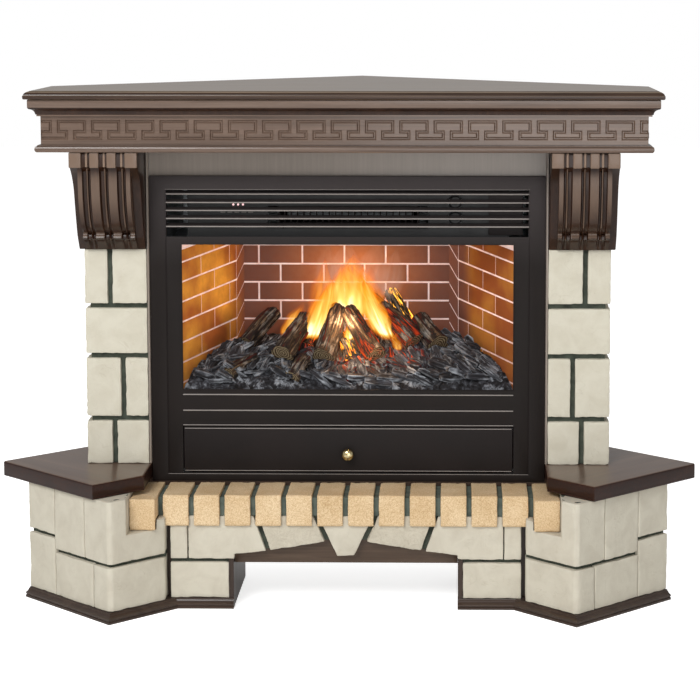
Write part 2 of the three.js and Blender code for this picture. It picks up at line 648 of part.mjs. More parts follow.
function makeFrontFrames() {
  const ring = { half: 338, bottom: 228, top: 762.3 };
  const outer = rectangle(-TRIM_HALF, TRIM_HALF, TRIM_BOTTOM, TRIM_TOP);
  const face = through(withHoles(outer, [rectangle(-ring.half, ring.half, ring.bottom, ring.top)]), 0, SHEET);
  const lip = 3;
  const flange = through(withHoles(outer, [rectangle(-TRIM_HALF + lip, TRIM_HALF - lip,
    TRIM_BOTTOM + lip, TRIM_TOP - lip)]), SHEET / 2, PANEL.front - GAP);
  add(insert, 'trim_frame', join(face, flange), blackSteel);

  const clear = 1.5;
  const panel = withHoles(rectangle(-345, 345, 220, 769.5), [
    rectangle(-WINDOW.half, WINDOW.half, WINDOW.bottom, WINDOW.top),
    rectangle(-LOUVRE.half, LOUVRE.half, LOUVRE.bottom, LOUVRE.top),
    rectangle(-DRAWER.half - clear, DRAWER.half + clear, DRAWER.bottom - clear, DRAWER.top + clear)]);
  const bars = [378, 348].map((z) => block(-WINDOW.half, WINDOW.half, 0.2, 3, z - 1.2, z + 1.2));
  add(insert, 'front_panel', join(through(panel, SHEET + GAP, CASE.front - GAP), ...bars), blackSteel);
}

/** The louvre: five thin slanted slats between two end cheeks. */
function makeLouvre() {
  const end = LOUVRE.half - GAP;
  const slats = [752.6, 736.7, 721.7, 706.7, 691.7].map((z) =>
    across([[2, z - 1.4], [15, z + 3.2], [15, z + 5.4], [2, z + 1.4]], -end, end));
  const cheeks = [-1, 1].map((sign) => block(Math.min(sign * end, sign * (end - 2.5)),
    Math.max(sign * end, sign * (end - 2.5)), 6.5, 16, LOUVRE.bottom + 1, LOUVRE.top - 1));
  add(insert, 'louvre_grille', join(...slats, ...cheeks), blackSteel);
}

/** The sheet-steel case, open in front, with a hole for the cable gland. */
function makeCase() {
  const { half, bottom, top, front, back } = CASE;
  const hollow = block(-half + SHEET, half - SHEET, front - 1, back - SHEET, bottom + SHEET, top - SHEET);
  const gland = new THREE.CylinderGeometry(GLAND.radius + GAP, GLAND.radius + GAP, 20, 16);
  gland.translate(GLAND.x, back, GLAND.z);
  const vent = block(-250, -60, back - 10, back + 1, 700, 740);
  const shell = cut(block(-half, half, front, back, bottom, top), hollow, gland, vent);
  const skids = [-270, 250].map((x) => block(x, x + 20, 20, 270, TRIM_BOTTOM, bottom + SHEET / 2));
  add(insert, 'insert_case', join(shell, ...skids), galvanised);
}

function makeGland() {
  const profile = [[3.5, -12], [13, -12], [13, -GAP], [8, -GAP], [8, SHEET + GAP], [11, SHEET + GAP],
    [11, 9], [6, 16], [3.5, 16], [3.5, -12]].map(([r, y]) => new THREE.Vector2(r, y));
  const gland = new THREE.LatheGeometry(profile, 16);
  gland.translate(GLAND.x, CASE.back - SHEET, GLAND.z);
  add(insert, 'cable_gland', gland, blackPlastic);
}

function makeChamber() {
  const half = CASE.half - SHEET - GAP;
  const deep = CASE.back - SHEET - GAP;
  const { floor, roof, backHalf, back, front } = CHAMBER;
  add(insert, 'chamber_roof', block(-half, half, CASE.front + GAP, deep, roof, roof + SHEET), galvanised);
  const slot = block(-MIST_SLOT.half, MIST_SLOT.half, MIST_SLOT.front, MIST_SLOT.back, floor - 1, floor + 9);
  add(insert, 'chamber_floor',
    cut(block(-half, half, CASE.front + GAP, deep, floor, floor + SHEET), slot), galvanised);

  const low = floor + SHEET + GAP;
  const high = roof - GAP;
  const thick = 9;
  add(insert, 'brick_panel_back',
    block(-backHalf - 2, backHalf + 2, back + GAP, back + thick, low, high), fireBrick);
  const side = [[WINDOW.half + 2, front], [WINDOW.half + 2 + thick, front],
    [backHalf + thick, back], [backHalf, back]];
  addPair(insert, 'brick_panel', plan(side, low, high), fireBrick);
}

// ---------------------------------------------------------------- ember bed and logs
/** Half the chamber's width at a depth, measured to the inner face of the side panels. */
function chamberHalf(y) {
  const share = (y - CHAMBER.front) / (CHAMBER.back - CHAMBER.front);
  return WINDOW.half + 2 + share * (CHAMBER.backHalf - WINDOW.half - 2);
}

/** The lumpy top of the ember bed. */
function emberTop(x, y) {
  const share = (y - EMBER.front) / (EMBER.back - EMBER.front);
  const rise = EMBER.frontTop + EMBER.rise * (1 - Math.exp((EMBER.front - y) / EMBER.run));
  const lumps = 5 * Math.sin(x / 13 + 2.2 * Math.sin(y / 17)) * Math.cos(y / 12 + 1.7 * Math.sin(x / 23));
  return rise + lumps * Math.sin(Math.PI * (0.15 + 0.7 * share));
}

function emberBed(lift = 0) {
  const columns = 26;
  const rows = 9;
  const rings = [];
  for (let column = 0; column <= columns; column += 1) {
    const ring = [];
    const u = (2 * column) / columns - 1;
    for (let row = 0; row <= rows; row += 1) {
      const y = EMBER.front + ((EMBER.back - EMBER.front) * row) / rows;
      const x = u * (chamberHalf(y) - 1.5);
      ring.push([x, y, emberTop(x, y) + lift]);
    }
    for (let row = rows; row >= 0; row -= rows) {
      const y = EMBER.front + ((EMBER.back - EMBER.front) * row) / rows;
      ring.push([u * (chamberHalf(y) - 1.5), y, EMBER.base]);
    }
    rings.push(ring);
  }
  return loft(rings, capOf(rings[0].map(([, y, z]) => [y, z])));
}

/** A split log from its cut lower end to its upper end, a little bent and tapered. */
function log({ from, to, radius, seed }, swell = 0) {
  const start = new THREE.Vector3(...from);
  const finishAt = new THREE.Vector3(...to);
  const along = finishAt.clone().sub(start);
  const forward = along.clone().normalize();
  const sideways = new THREE.Vector3(0, 0, 1).cross(forward).normalize();
  const upward = forward.clone().cross(sideways);
  const rings = [];
  const steps = 5;
  const sides = 10;
  for (let step = 0; step <= steps; step += 1) {
    const t = step / steps;
    const centre = start.clone().addScaledVector(along, t)
      .addScaledVector(upward, 0.12 * radius * Math.sin(Math.PI * t + seed));
    const ring = [];
    for (let side = 0; side < sides; side += 1) {
      const angle = (2 * Math.PI * side) / sides;
      const knots = 1 + 0.1 * Math.sin(3 * angle + seed) + 0.06 * Math.sin(5 * angle + 7 * t + seed);
      const reach = radius * (1 - 0.22 * t) * knots + swell;
      const point = centre.clone().addScaledVector(sideways, reach * Math.cos(angle))
        .addScaledVector(upward, reach * Math.sin(angle));
      ring.push(point.toArray());
    }
    rings.push(ring);
  }
  const cap = [];
  for (let side = 1; side + 1 < sides; side += 1) {
    cap.push([0, side, side + 1]);
  }
  return loft(rings, cap);
}

function makeFireBed() {
  const slot = block(-MIST_SLOT.half + 20, MIST_SLOT.half - 20, MIST_SLOT.front + 3, MIST_SLOT.back - 3,
    EMBER.base - 1, 480);
  const stumps = STUMPS.map((stump) => log(stump));
  add(insert, 'ember_bed', join(cut(emberBed(), slot), ...stumps), ash);
  const placed = [emberBed(0.5), ...STUMPS.map((stump) => log(stump, 0.4))];
  LOGS.forEach((spec) => {
    add(insert, spec.name, cut(log(spec), ...placed), bark);
    placed.push(log(spec, 0.4));
  });
}

// ---------------------------------------------------------------- fan heater
function makeFanRotor() {
  const { y, z, radius, half, blades } = FAN;
  const disc = (x) => {
    const plate = new THREE.CylinderGeometry(radius, radius, 2, 24);
    plate.rotateZ(Math.PI / 2);
    return plate.translate(x, y, z);
  };
  const shaft = new THREE.CylinderGeometry(3, 3, 2 * half + 40, 12);
  shaft.rotateZ(Math.PI / 2);
  shaft.translate(10, y, z);
  const pieces = [shaft, disc(-half + 1), disc(half - 1)];
  for (let at = 0; at < blades; at += 1) {
    const blade = new THREE.BoxGeometry(2 * half - 2, 1.6, 9);
    blade.rotateX(0.5);
    blade.translate(0, 0, radius - 6);
    blade.rotateX((2 * Math.PI * at) / blades);
    pieces.push(blade.translate(0, y, z));
  }
  add(insert, 'fan_rotor', join(...pieces), rotorMetal);
}

/** The fan's scroll: a duct floor that curls up behind the rotor, a tongue, and two end plates. */
function makeFanHousing() {
  const { y, z, radius, housingHalf } = FAN;
  const wall = 2;
  const curl = (grow) => {
    const points = [];
    for (let step = 0; step <= 8; step += 1) {
      const angle = -Math.PI / 2 + (Math.PI * 0.95 * step) / 8;
      const reach = radius + 4 + step * 0.9 + grow;
      points.push([y + reach * Math.cos(angle), z + reach * Math.sin(angle)]);
    }
    return points;
  };
  const mouth = 40;
  const ductFloor = z - radius - 4;
  const scroll = [[mouth, ductFloor], ...curl(0), ...curl(wall).reverse(), [mouth, ductFloor - wall]];
  const tongue = [[mouth, z + 4], [y - radius - 5, z + 8], [y - radius - 7, z + 11], [mouth, z + 6]];
  const plate = withHoles([[mouth, z - radius - 6], [y + 20, z - radius - 6], [y + 42, z], [y + 36, z + 34],
    [y - 20, z + 34], [mouth, z + 8]], [circle(y, z, 6, 12)]);
  const ends = [-1, 1].map((sign) =>
    across(plate, sign * housingHalf - wall / 2, sign * housingHalf + wall / 2));
  const feet = [-1, 1].map((sign) => block(sign * housingHalf - wall / 2, sign * housingHalf + wall / 2,
    70, 150, CHAMBER.roof + SHEET + GAP, z - radius - 4));
  const span = housingHalf + wall / 2;
  add(insert, 'fan_housing',
    join(across(scroll, -span, span), across(tongue, -span, span), ...ends, ...feet), galvanised);
}

function circle(u, v, radius, sides) {
  return Array.from({ length: sides }, (_, at) => {
    const angle = (-2 * Math.PI * at) / sides;
    return [u + radius * Math.cos(angle), v + radius * Math.sin(angle)];
  });
}

function makeHeater() {
  const { y, z, radius, housingHalf } = FAN;
  const ribs = [];
  const half = housingHalf - 3;
  const low = z - radius - 4 + GAP;
  for (let x = -half + 6; x < half; x += 12) {
    ribs.push(block(x - 1, x + 1, 62, 76, low + 1, z + 2));
  }
  const rails = [block(-half, half, 62, 76, low, low + 3), block(-half, half, 62, 76, z, z + 3)];
  add(insert, 'heating_element', join(...rails, ...ribs), galvanised);

  const motor = new THREE.CylinderGeometry(24, 24, 34, 20);
  motor.rotateZ(Math.PI / 2);
  motor.translate(housingHalf + 42, y, z);
  const foot = block(housingHalf + 30, housingHalf + 54, y - 14, y + 14, CHAMBER.roof + SHEET + GAP, z - 20);
  const bore = new THREE.CylinderGeometry(3.4, 3.4, 20, 12);
  bore.rotateZ(Math.PI / 2);
  bore.translate(housingHalf + 22, y, z);
  add(insert, 'fan_motor', cut(join(motor, foot), bore), blackPlastic);
}

// ---------------------------------------------------------------- controls
function makeControls() {
  const holes = [rectangle(-150, 150, 688, 730), ...DIAL.zs.map((z) => circle(DIAL.x, z, 3.6, 12))];
  const plate = through(withHoles(rectangle(-300, 300, CHAMBER.roof + SHEET + GAP, 764), holes), 30, 32);
  add(insert, 'control_panel', plate, blackPlastic);

  const profile = [[0, 0], [DIAL.radius - 1, 0], [DIAL.radius, 1], [DIAL.radius, 8.5],
    [3, 8.5], [3, 20], [0, 20]].map(([r, y]) => new THREE.Vector2(r, y));
  DIAL.zs.forEach((z, at) => {
    const knob = new THREE.LatheGeometry(profile, 20);
    knob.translate(DIAL.x, 21, z);
    const pointer = block(DIAL.x - 1, DIAL.x + 1, 19.8, 22, z + 1, z + 9);
    add(insert, at ? 'dial_lower' : 'dial_upper', join(knob, pointer), blackPlastic);
  });
}

// ---------------------------------------------------------------- drawer
function makeDrawer() {
  const { half, bottom, top } = DRAWER;
  const round = 1.5;
  const panel = roundedDoor(rectangle(-half, half, bottom, top), 0.6, 12, round);
  const spindle = new THREE.CylinderGeometry(2.2, 2.2, 30, 12);
  spindle.translate(0, 6, KNOB_Z);
  add(drawer, 'drawer_front', cut(panel, spindle), blackSteel);

  const hollow = block(-TRAY.half + SHEET, TRAY.half - SHEET, TRAY.front + SHEET, TRAY.back - SHEET,
    TRAY.bottom + SHEET, TRAY.top + 1);
  const tub = block(-TRAY.half, TRAY.half, TRAY.front, TRAY.back, TRAY.bottom, TRAY.top);
  add(drawer, 'drawer_tray', cut(tub, hollow), galvanised);

  const knob = [[0, 0], [6, 0.6], [10.5, 3.5], [12, 8], [10.5, 12], [6, 15.5], [4.5, 18], [5.5, 21],
    [8, 22.4], [2, 22.4], [2, 31], [0, 31]].map(([r, y]) => new THREE.Vector2(r, y));
  const turned = new THREE.LatheGeometry(knob, 24);
  add(drawer, 'drawer_knob', turned.translate(0, 0.6 - 22.4 - GAP, KNOB_Z), brass);
}

/** A thin door with its front edges rounded. */
function roundedDoor(outline, y0, y1, round) {
  const geometry = new THREE.ExtrudeGeometry(shapeOf(outline), {
    depth: y1 - y0 - 2 * round, bevelEnabled: true, bevelSegments: 2,
    bevelSize: round, bevelThickness: round, bevelOffset: -round,
  });
  geometry.applyMatrix4(new THREE.Matrix4().makeBasis(
    new THREE.Vector3(1, 0, 0), new THREE.Vector3(0, 0, 1), new THREE.Vector3(0, -1, 0)));
  return geometry.translate(0, y1 - round, 0);
}

function makeWaterSide() {
  const low = TRAY.bottom + SHEET + GAP;
  const tank = roundedPlan(rectangle(-285, -40, 30, 225), low, 302, 8, 5);
  const neck = new THREE.CylinderGeometry(19, 19, 14, 20);
  neck.rotateX(Math.PI / 2);
  neck.translate(-250, 70, 303);
  add(drawer, 'water_tank', join(tank, neck), smokyPlastic);

  const sump = roundedPlan(rectangle(-20, 190, 60, 180), low, 276, 6, 4);
  const nozzle = block(-10, 180, 104, 136, 270, 312);
  const slot = block(-2, 172, 115, 125, 262, 320);
  add(drawer, 'mist_unit', cut(join(sump, nozzle), slot), blackPlastic);

  const runner = (sign) => join(
    block(Math.min(sign * 297.5, sign * 299.5), Math.max(sign * 297.5, sign * 299.5), 20, 268, 232, 272),
    block(Math.min(sign * 297.5, sign * 318), Math.max(sign * 297.5, sign * 318), 20, 268,
      CASE.bottom + SHEET + GAP, 234));
  const strap = block(-318, 318, 260, 268, CASE.bottom + SHEET + GAP, 230);
  add(insert, 'drawer_runner', join(runner(-1), runner(1), strap), galvanised);
}

makeMantelBoards();
makeMouldings();
makeFrieze();
makePortalFront();
makeColumnBox();
makeColumnStone();
makeCorbel();
makeSideShelf();
makePlinthBox();
makePlinthStone();
makeBaseMoulding();
makeArchFacing();
makeApron();
makeHearthBricks();
makeHearthBoard();
makeFrontFrames();
makeLouvre();
makeCase();
makeGland();
makeChamber();
makeFireBed();
makeFanHousing();
makeFanRotor();
makeHeater();
makeControls();
makeDrawer();
makeWaterSide();

const fireplace = new THREE.Group();
fireplace.name = 'corner_fireplace';
fireplace.add(portal, insert, drawer);
const frontMost = (INNER_FACET - OUTER_FACET) / 2 - BASE_REACH * Math.SQRT2;
fireplace.position.y = -(WALLS_MEET + frontMost) / 2;

export default fireplace;
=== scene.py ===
"""The looks of a corner fireplace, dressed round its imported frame.

The fireplace is a walnut mantel on two scroll corbels and two columns of cast stone. It stands
over a brick hearth with a flat stone arch, between two plinths that are turned to the walls.
Inside is an electric insert with a log bed, mist flames, a fan heater and a water drawer.

Sizes are millimetres in the maker's own coordinates: X to the viewer's right, Y back from the
face of the insert's trim frame, and Z up from the floor. Each mesh is put into metres in the
row's frame when its piece is made.
"""

import logging
import math
from dataclasses import dataclass, field
from enum import Enum
from typing import Callable, Iterable, Sequence

import bmesh
import bpy
from mathutils import Matrix, Vector, noise


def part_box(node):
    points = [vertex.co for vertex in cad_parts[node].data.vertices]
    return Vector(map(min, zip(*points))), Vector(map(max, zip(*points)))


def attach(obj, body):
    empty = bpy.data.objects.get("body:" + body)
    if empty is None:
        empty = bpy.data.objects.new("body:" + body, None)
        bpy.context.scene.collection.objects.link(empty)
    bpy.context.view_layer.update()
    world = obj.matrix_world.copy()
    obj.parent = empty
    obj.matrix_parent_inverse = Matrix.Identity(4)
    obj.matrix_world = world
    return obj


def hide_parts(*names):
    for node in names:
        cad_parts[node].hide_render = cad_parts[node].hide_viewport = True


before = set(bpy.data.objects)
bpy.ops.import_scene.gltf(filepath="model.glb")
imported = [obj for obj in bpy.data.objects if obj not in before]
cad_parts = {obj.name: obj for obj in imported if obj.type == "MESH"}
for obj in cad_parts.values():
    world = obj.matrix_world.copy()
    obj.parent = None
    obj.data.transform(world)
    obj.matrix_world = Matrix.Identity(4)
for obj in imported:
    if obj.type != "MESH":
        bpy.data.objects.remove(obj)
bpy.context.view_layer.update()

log = logging.getLogger("fireplace")

MM = 0.001
FACE_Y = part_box("trim_frame")[0].y
TO_ROW = Matrix.Translation((0, FACE_Y, 0)) @ Matrix.Diagonal((MM, MM, MM, 1))
Outline = Sequence[tuple[float, float]]
Colour = tuple[int, int, int]
SIDES = (("right", 1), ("left", -1))


# ---------------------------------------------------------------- shaping
class Axis(Enum):
    """The direction in which an outline is carried."""

    X = Vector((1, 0, 0))
    Y = Vector((0, 1, 0))
    Z = Vector((0, 0, 1))


def cube(lo: Sequence[float], hi: Sequence[float]) -> bmesh.types.BMesh:
    """Makes a rectangular block.

    Args:
        lo: Its lowest corner.
        hi: Its highest corner.

    Returns:
        The block's bmesh.
    """
    bm = bmesh.new()
    bmesh.ops.create_cube(bm, size=1.0)
    bmesh.ops.scale(bm, vec=Vector(hi) - Vector(lo), verts=bm.verts)
    bmesh.ops.translate(bm, vec=(Vector(hi) + Vector(lo)) / 2, verts=bm.verts)
    return bm


def prism(outline: Outline, axis: Axis, start: float, end: float) -> bmesh.types.BMesh:
    """Carries a flat outline along an axis.

    Args:
        outline: Points (y, z) for X, (x, z) for Y, or (x, y) for Z.
        axis: The direction of the carry.
        start: Where the outline starts on the axis.
        end: Where it ends.

    Returns:
        The closed solid's bmesh.
    """
    places = {
        Axis.X: lambda u, v: (start, u, v),
        Axis.Y: lambda u, v: (u, start, v),
        Axis.Z: lambda u, v: (u, v, start),
    }
    bm = bmesh.new()
    face = bm.faces.new([bm.verts.new(places[axis](u, v)) for u, v in outline])
    grown = bmesh.ops.extrude_face_region(bm, geom=[face])["geom"]
    moved = [item for item in grown if isinstance(item, bmesh.types.BMVert)]
    bmesh.ops.translate(bm, vec=axis.value * (end - start), verts=moved)
    bmesh.ops.recalc_face_normals(bm, faces=bm.faces)
    return bm


def sweep(path: Outline, profile: Outline, ends: tuple[Vector | None, Vector | None] = (None, None)):
    """Runs a moulding's profile along a path in plan, with mitred corners.

    Args:
        path: The corners (x, y) that the moulding runs through.
        profile: Points (out, z), where out is measured to the right of the run.
        ends: The normals of the planes in which the two ends are cut, or None for a square cut.

    Returns:
        The moulding's bmesh.
    """
    corners = [Vector((x, y, 0)) for x, y in path]
    runs = [(b - a).normalized() for a, b in zip(corners, corners[1:])]
    planes = [ends[0] or runs[0]]
    planes += [(a + b).normalized() for a, b in zip(runs, runs[1:])]
    planes.append(ends[1] or runs[-1])
    right = Vector((runs[0].y, -runs[0].x, 0))
    bm = bmesh.new()
    cap = bm.faces.new([bm.verts.new(corners[0] + right * out + Vector((0, 0, z))) for out, z in profile])
    slide_onto(cap.verts, runs[0], corners[0], planes[0])
    for run, corner, plane in zip(runs, corners[1:], planes[1:]):
        grown = bmesh.ops.extrude_face_region(bm, geom=[cap])["geom"]
        cap = next(item for item in grown if isinstance(item, bmesh.types.BMFace))
        slide_onto(cap.verts, run, corner, plane)
    bmesh.ops.recalc_face_normals(bm, faces=bm.faces)
    return bm


def slide_onto(verts: Iterable[bmesh.types.BMVert], run: Vector, corner: Vector, plane: Vector) -> None:
    """Moves points along a run until they lie in a plane through a corner.

    Args:
        verts: The points.
        run: The direction in which they move.
        corner: A point of the plane.
        plane: The plane's normal.
    """
    for vert in verts:
        vert.co += run * ((corner - vert.co).dot(plane) / run.dot(plane))


def lathe(profile: Outline, centre: Vector, steps: int = 40) -> bmesh.types.BMesh:
    """Turns a profile about an axis that runs along Y.

    Args:
        profile: Points (radius, y), the ends on the axis or closing on each other.
        centre: A point on the axis.
        steps: The number of segments in the full turn.

    Returns:
        The turned solid's bmesh.
    """
    bm = bmesh.new()
    verts = [bm.verts.new(centre + Vector((radius, y, 0))) for radius, y in profile]
    edges = [bm.edges.new(pair) for pair in zip(verts, verts[1:])]
    bmesh.ops.spin(bm, geom=verts + edges, cent=centre, axis=(0, 1, 0), angle=math.tau, steps=steps,
                   use_merge=True)
    bmesh.ops.remove_doubles(bm, verts=bm.verts, dist=0.01)
    bmesh.ops.recalc_face_normals(bm, faces=bm.faces)
    return bm


def arc(start: Vector, pull: Vector, end: Vector, steps: int = 6) -> list[tuple[float, float]]:
    """Points on a curve from start to end that is pulled towards a third point."""
    shares = [at / steps for at in range(steps + 1)]
    curve = [start * (1 - t) ** 2 + pull * (2 * t * (1 - t)) + end * t * t for t in shares]
    return [(point.x, point.y) for point in curve]


def bend(*points: tuple[float, float], steps: int = 6) -> list[tuple[float, float]]:
    """Points on a quadratic curve through three control points (u, v)."""
    start, pull, end = (Vector(point) for point in points)
    return arc(start, pull, end, steps)


def round_edges(bm: bmesh.types.BMesh, width: float, segments: int = 2, over: float = 30.0) -> None:
    """Rounds every edge that is sharper than an angle.

    Args:
        bm: The solid.
        width: The width of the rounding.
        segments: Its number of facets.
        over: The least angle between faces, in degrees.
    """
    limit = math.radians(over)
    sharp = [edge for edge in bm.edges if edge.calc_face_angle(0.0) > limit]
    bmesh.ops.bevel(bm, geom=sharp, offset=width, offset_type="OFFSET", segments=segments,
                    profile=0.5, affect="EDGES", clamp_overlap=True, material=-1)


def slice_up(bm: bmesh.types.BMesh, direction: Vector, step: float) -> None:
    """Cuts new edges into a solid, in planes square to a direction and about a step apart.

    Args:
        bm: The solid.
        direction: The planes' normal.
        step: The distance between two planes.
    """
    spans = [vert.co.dot(direction) for vert in bm.verts]
    low, high = min(spans), max(spans)
    count = max(1, round((high - low) / step))
    for at in range(1, count):
        where = direction * (low + (high - low) * at / count)
        everything = bm.verts[:] + bm.edges[:] + bm.faces[:]
        bmesh.ops.bisect_plane(bm, geom=everything, dist=1e-3, plane_co=where, plane_no=direction)


def weather(bm: bmesh.types.BMesh, seed: float, relief: float, chip: float, size: float) -> None:
    """Gives a solid an uneven surface and worn edges, by moving its points along their normals.

    Args:
        bm: The solid, already cut finely.
        seed: Picks the pattern.
        relief: The height of the unevenness.
        chip: The greatest wear at a sharp edge.
        size: The size of the unevenness.
    """
    bm.normal_update()
    away = Vector((seed * 3.7, seed * 1.3, seed * 7.1))
    places = {}
    for vert in bm.verts:
        turn = max((edge.calc_face_angle(0.0) for edge in vert.link_edges), default=0.0)
        spot = vert.co / size + away
        broad = noise.noise(spot) + 0.5 * noise.noise(spot * 2.3) + 0.3 * noise.noise(spot * 5.1)
        lift = relief * broad
        if turn > 0.3:
            lift -= chip * max(0.0, noise.noise(spot * 4.0) + 0.15)
        places[vert] = vert.co + vert.normal * lift
    for vert, place in places.items():
        vert.co = place


def gather(pieces: Iterable[bmesh.types.BMesh]) -> bmesh.types.BMesh:
    """Puts several solids into one bmesh and frees them."""
    whole = bmesh.new()
    for piece in pieces:
        mesh = bpy.data.meshes.new("gathered")
        piece.to_mesh(mesh)
        whole.from_mesh(mesh)
        bpy.data.meshes.remove(mesh)
        piece.free()
    return whole


def mirrored(outline: Outline, sign: int) -> list[tuple[float, float]]:
    """An outline whose first coordinate is turned to the side that sign names."""
    return [(sign * u, v) for u, v in outline]


def piece(name: str, bm: bmesh.types.BMesh, finish: bpy.types.Material, slot: str,
          body: str = "root", replaces: Sequence[str] = (), smooth: float = 35.0,
          edge: bpy.types.Material | None = None, steep: float = 0.8) -> bpy.types.Object:
    """Makes a bmesh a finished piece of the fireplace.

    Args:
        name: The piece's name.
        bm: Its mesh in millimetres, which is freed.
        finish: Its material.
        slot: The record's material slot; not used.
        body: The body that it rides on.
        replaces: The CAD nodes that it stands for.
        smooth: Edges flatter than this angle, in degrees, are shaded smooth.
        edge: A second material, for the faces that look neither up nor down.
        steep: How far up or down a face may look and still take that second material.

    Returns:
        The new object.
    """
    bm.transform(TO_ROW)
    mesh = bpy.data.meshes.new(name)
    bm.to_mesh(mesh)
    bm.free()
    mesh.shade_smooth()
    mesh.set_sharp_from_angle(angle=math.radians(smooth))
    mesh.materials.append(finish)
    if edge:
        mesh.materials.append(edge)
        for face in mesh.polygons:
            face.material_index = int(abs(face.normal.z) < steep)
    made = bpy.data.objects.new(name, mesh)
    bpy.context.scene.collection.objects.link(made)
    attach(made, body)
    if replaces:
        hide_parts(*replaces)
    log.info("%s: %d faces", name, len(mesh.polygons))
    return made


def dress(nodes: Iterable[str], finish: bpy.types.Material) -> None:
    """Gives CAD nodes that keep their shape a finished material."""
    for name in nodes:
        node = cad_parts[name]
        node.data.materials.clear()
        node.data.materials.append(finish)


# ---------------------------------------------------------------- finishes
def tone(colour: Colour) -> tuple[float, float, float, float]:
    """A colour given as it looks on screen, 0 to 255, in the shader's linear values."""
    linear = [c / 255 / 12.92 if c <= 10 else ((c / 255 + 0.055) / 1.055) ** 2.4 for c in colour]
    return (*linear, 1.0)


class Recipe:
    """Writes one material's node tree, round a Principled shader."""

    def __init__(self, name: str, **sockets: object) -> None:
        """Starts a material.

        Args:
            name: The material's name.
            sockets: Values for the shader's own sockets, with spaces as underscores.
        """
        self.material = bpy.data.materials.new(name)
        self.material.use_nodes = True
        self.tree = self.material.node_tree
        self.tree.nodes.clear()
        self.shader = self.tree.nodes.new("ShaderNodeBsdfPrincipled")
        self.output = self.tree.nodes.new("ShaderNodeOutputMaterial")
        self.tree.links.new(self.shader.outputs[0], self.output.inputs["Surface"])
        self.feed(**sockets)

    def feed(self, **sockets: object) -> None:
        """Sets or links the shader's sockets, named with spaces as underscores."""
        for name, value in sockets.items():
            self.plug(self.shader.inputs[name.replace("_", " ")], value)

    def plug(self, socket: bpy.types.NodeSocket, value: object) -> None:
        """Links a socket to another one, or sets its value."""
        if isinstance(value, bpy.types.NodeSocket):
            self.tree.links.new(value, socket)
        else:
            socket.default_value = value

    def node(self, kind: str, inputs: dict[object, object], **settings: object) -> bpy.types.Node:
        """Adds a node.

        Args:
            kind: The node's type, without its ShaderNode prefix.
            inputs: Values or links for its inputs, by name or number.
            settings: Values for the node's own properties.

        Returns:
            The node.
        """
        made = self.tree.nodes.new("ShaderNode" + kind)
        for name, value in settings.items():
            setattr(made, name, value)
        for name, value in inputs.items():
            self.plug(made.inputs[name], value)
        return made

    def place(self, scale: Sequence[float] = (1, 1, 1), turn: float = 0.0) -> bpy.types.NodeSocket:
        """Object coordinates in metres, turned about Z and then stretched."""
        spot = self.node("TexCoord", {}).outputs["Object"]
        if turn:
            spot = self.node("Mapping", {"Vector": spot, "Rotation": (0, 0, turn)}).outputs[0]
        return self.node("Mapping", {"Vector": spot, "Scale": tuple(scale)}).outputs[0]

    def attribute(self, name: str, output: str = "Vector") -> bpy.types.NodeSocket:
        """A value that the piece's own mesh carries."""
        return self.node("Attribute", {}, attribute_name=name).outputs[output]

    def noise(self, spot: bpy.types.NodeSocket, scale: float, detail: float = 3.0,
              roughness: float = 0.5, distortion: float = 0.0) -> bpy.types.NodeSocket:
        """Cloudy noise from 0 to 1."""
        values = {"Vector": spot, "Scale": scale, "Detail": detail, "Roughness": roughness,
                  "Distortion": distortion}
        return self.node("TexNoise", values).outputs["Fac"]

    def cells(self, spot: bpy.types.NodeSocket, scale: float, feature: str = "F1") -> bpy.types.NodeSocket:
        """The distance in a pattern of random cells."""
        return self.node("TexVoronoi", {"Vector": spot, "Scale": scale}, feature=feature).outputs["Distance"]

    def ramp(self, value: bpy.types.NodeSocket, stops: Sequence[tuple[float, Colour]]) -> bpy.types.NodeSocket:
        """Colours a value by stops (position, colour)."""
        made = self.node("ValToRGB", {"Fac": value})
        bar = made.color_ramp
        while len(bar.elements) < len(stops):
            bar.elements.new(0.5)
        for element, (position, colour) in zip(bar.elements, stops):
            element.position = position
            element.color = tone(colour)
        return made.outputs["Color"]

    def shift(self, value: bpy.types.NodeSocket, old: tuple[float, float],
              new: tuple[float, float] = (0.0, 1.0)) -> bpy.types.NodeSocket:
        """Carries a value from one range to another, and keeps it there."""
        inputs = {"Value": value, "From Min": old[0], "From Max": old[1], "To Min": new[0],
                  "To Max": new[1]}
        return self.node("MapRange", inputs).outputs["Result"]

    def sum(self, operation: str, a: object, b: object) -> bpy.types.NodeSocket:
        """One step of arithmetic."""
        return self.node("Math", {0: a, 1: b}, operation=operation).outputs[0]

    def blend(self, share: object, a: object, b: object, way: str = "MIX") -> bpy.types.NodeSocket:
        """Mixes two colours."""
        made = self.tree.nodes.new("ShaderNodeMix")
        made.data_type = "RGBA"
        made.blend_type = way
        for socket, value in zip((made.inputs[0], made.inputs[6], made.inputs[7]), (share, a, b)):
            self.plug(socket, value)
        return made.outputs[2]

    def bump(self, height: bpy.types.NodeSocket, depth: float, strength: float = 1.0,
             under: bpy.types.NodeSocket | None = None) -> bpy.types.NodeSocket:
        """A bump from a height, `depth` metres deep, over another one."""
        inputs = {"Height": height, "Distance": depth, "Strength": strength}
        if under is not None:
            inputs["Normal"] = under
        return self.node("Bump", inputs).outputs[0]


class Grain(Enum):
    """The way a veneer's grain runs: its stretch along X, Y and Z, and its turn in plan."""

    ACROSS = ((5.0, 260.0, 260.0), 0.0)
    DEEP = ((260.0, 5.0, 260.0), 0.0)
    UPRIGHT = ((260.0, 260.0, 5.0), 0.0)
    RIGHT_WALL = ((5.0, 260.0, 260.0), math.radians(45))
    LEFT_WALL = ((5.0, 260.0, 260.0), math.radians(-45))


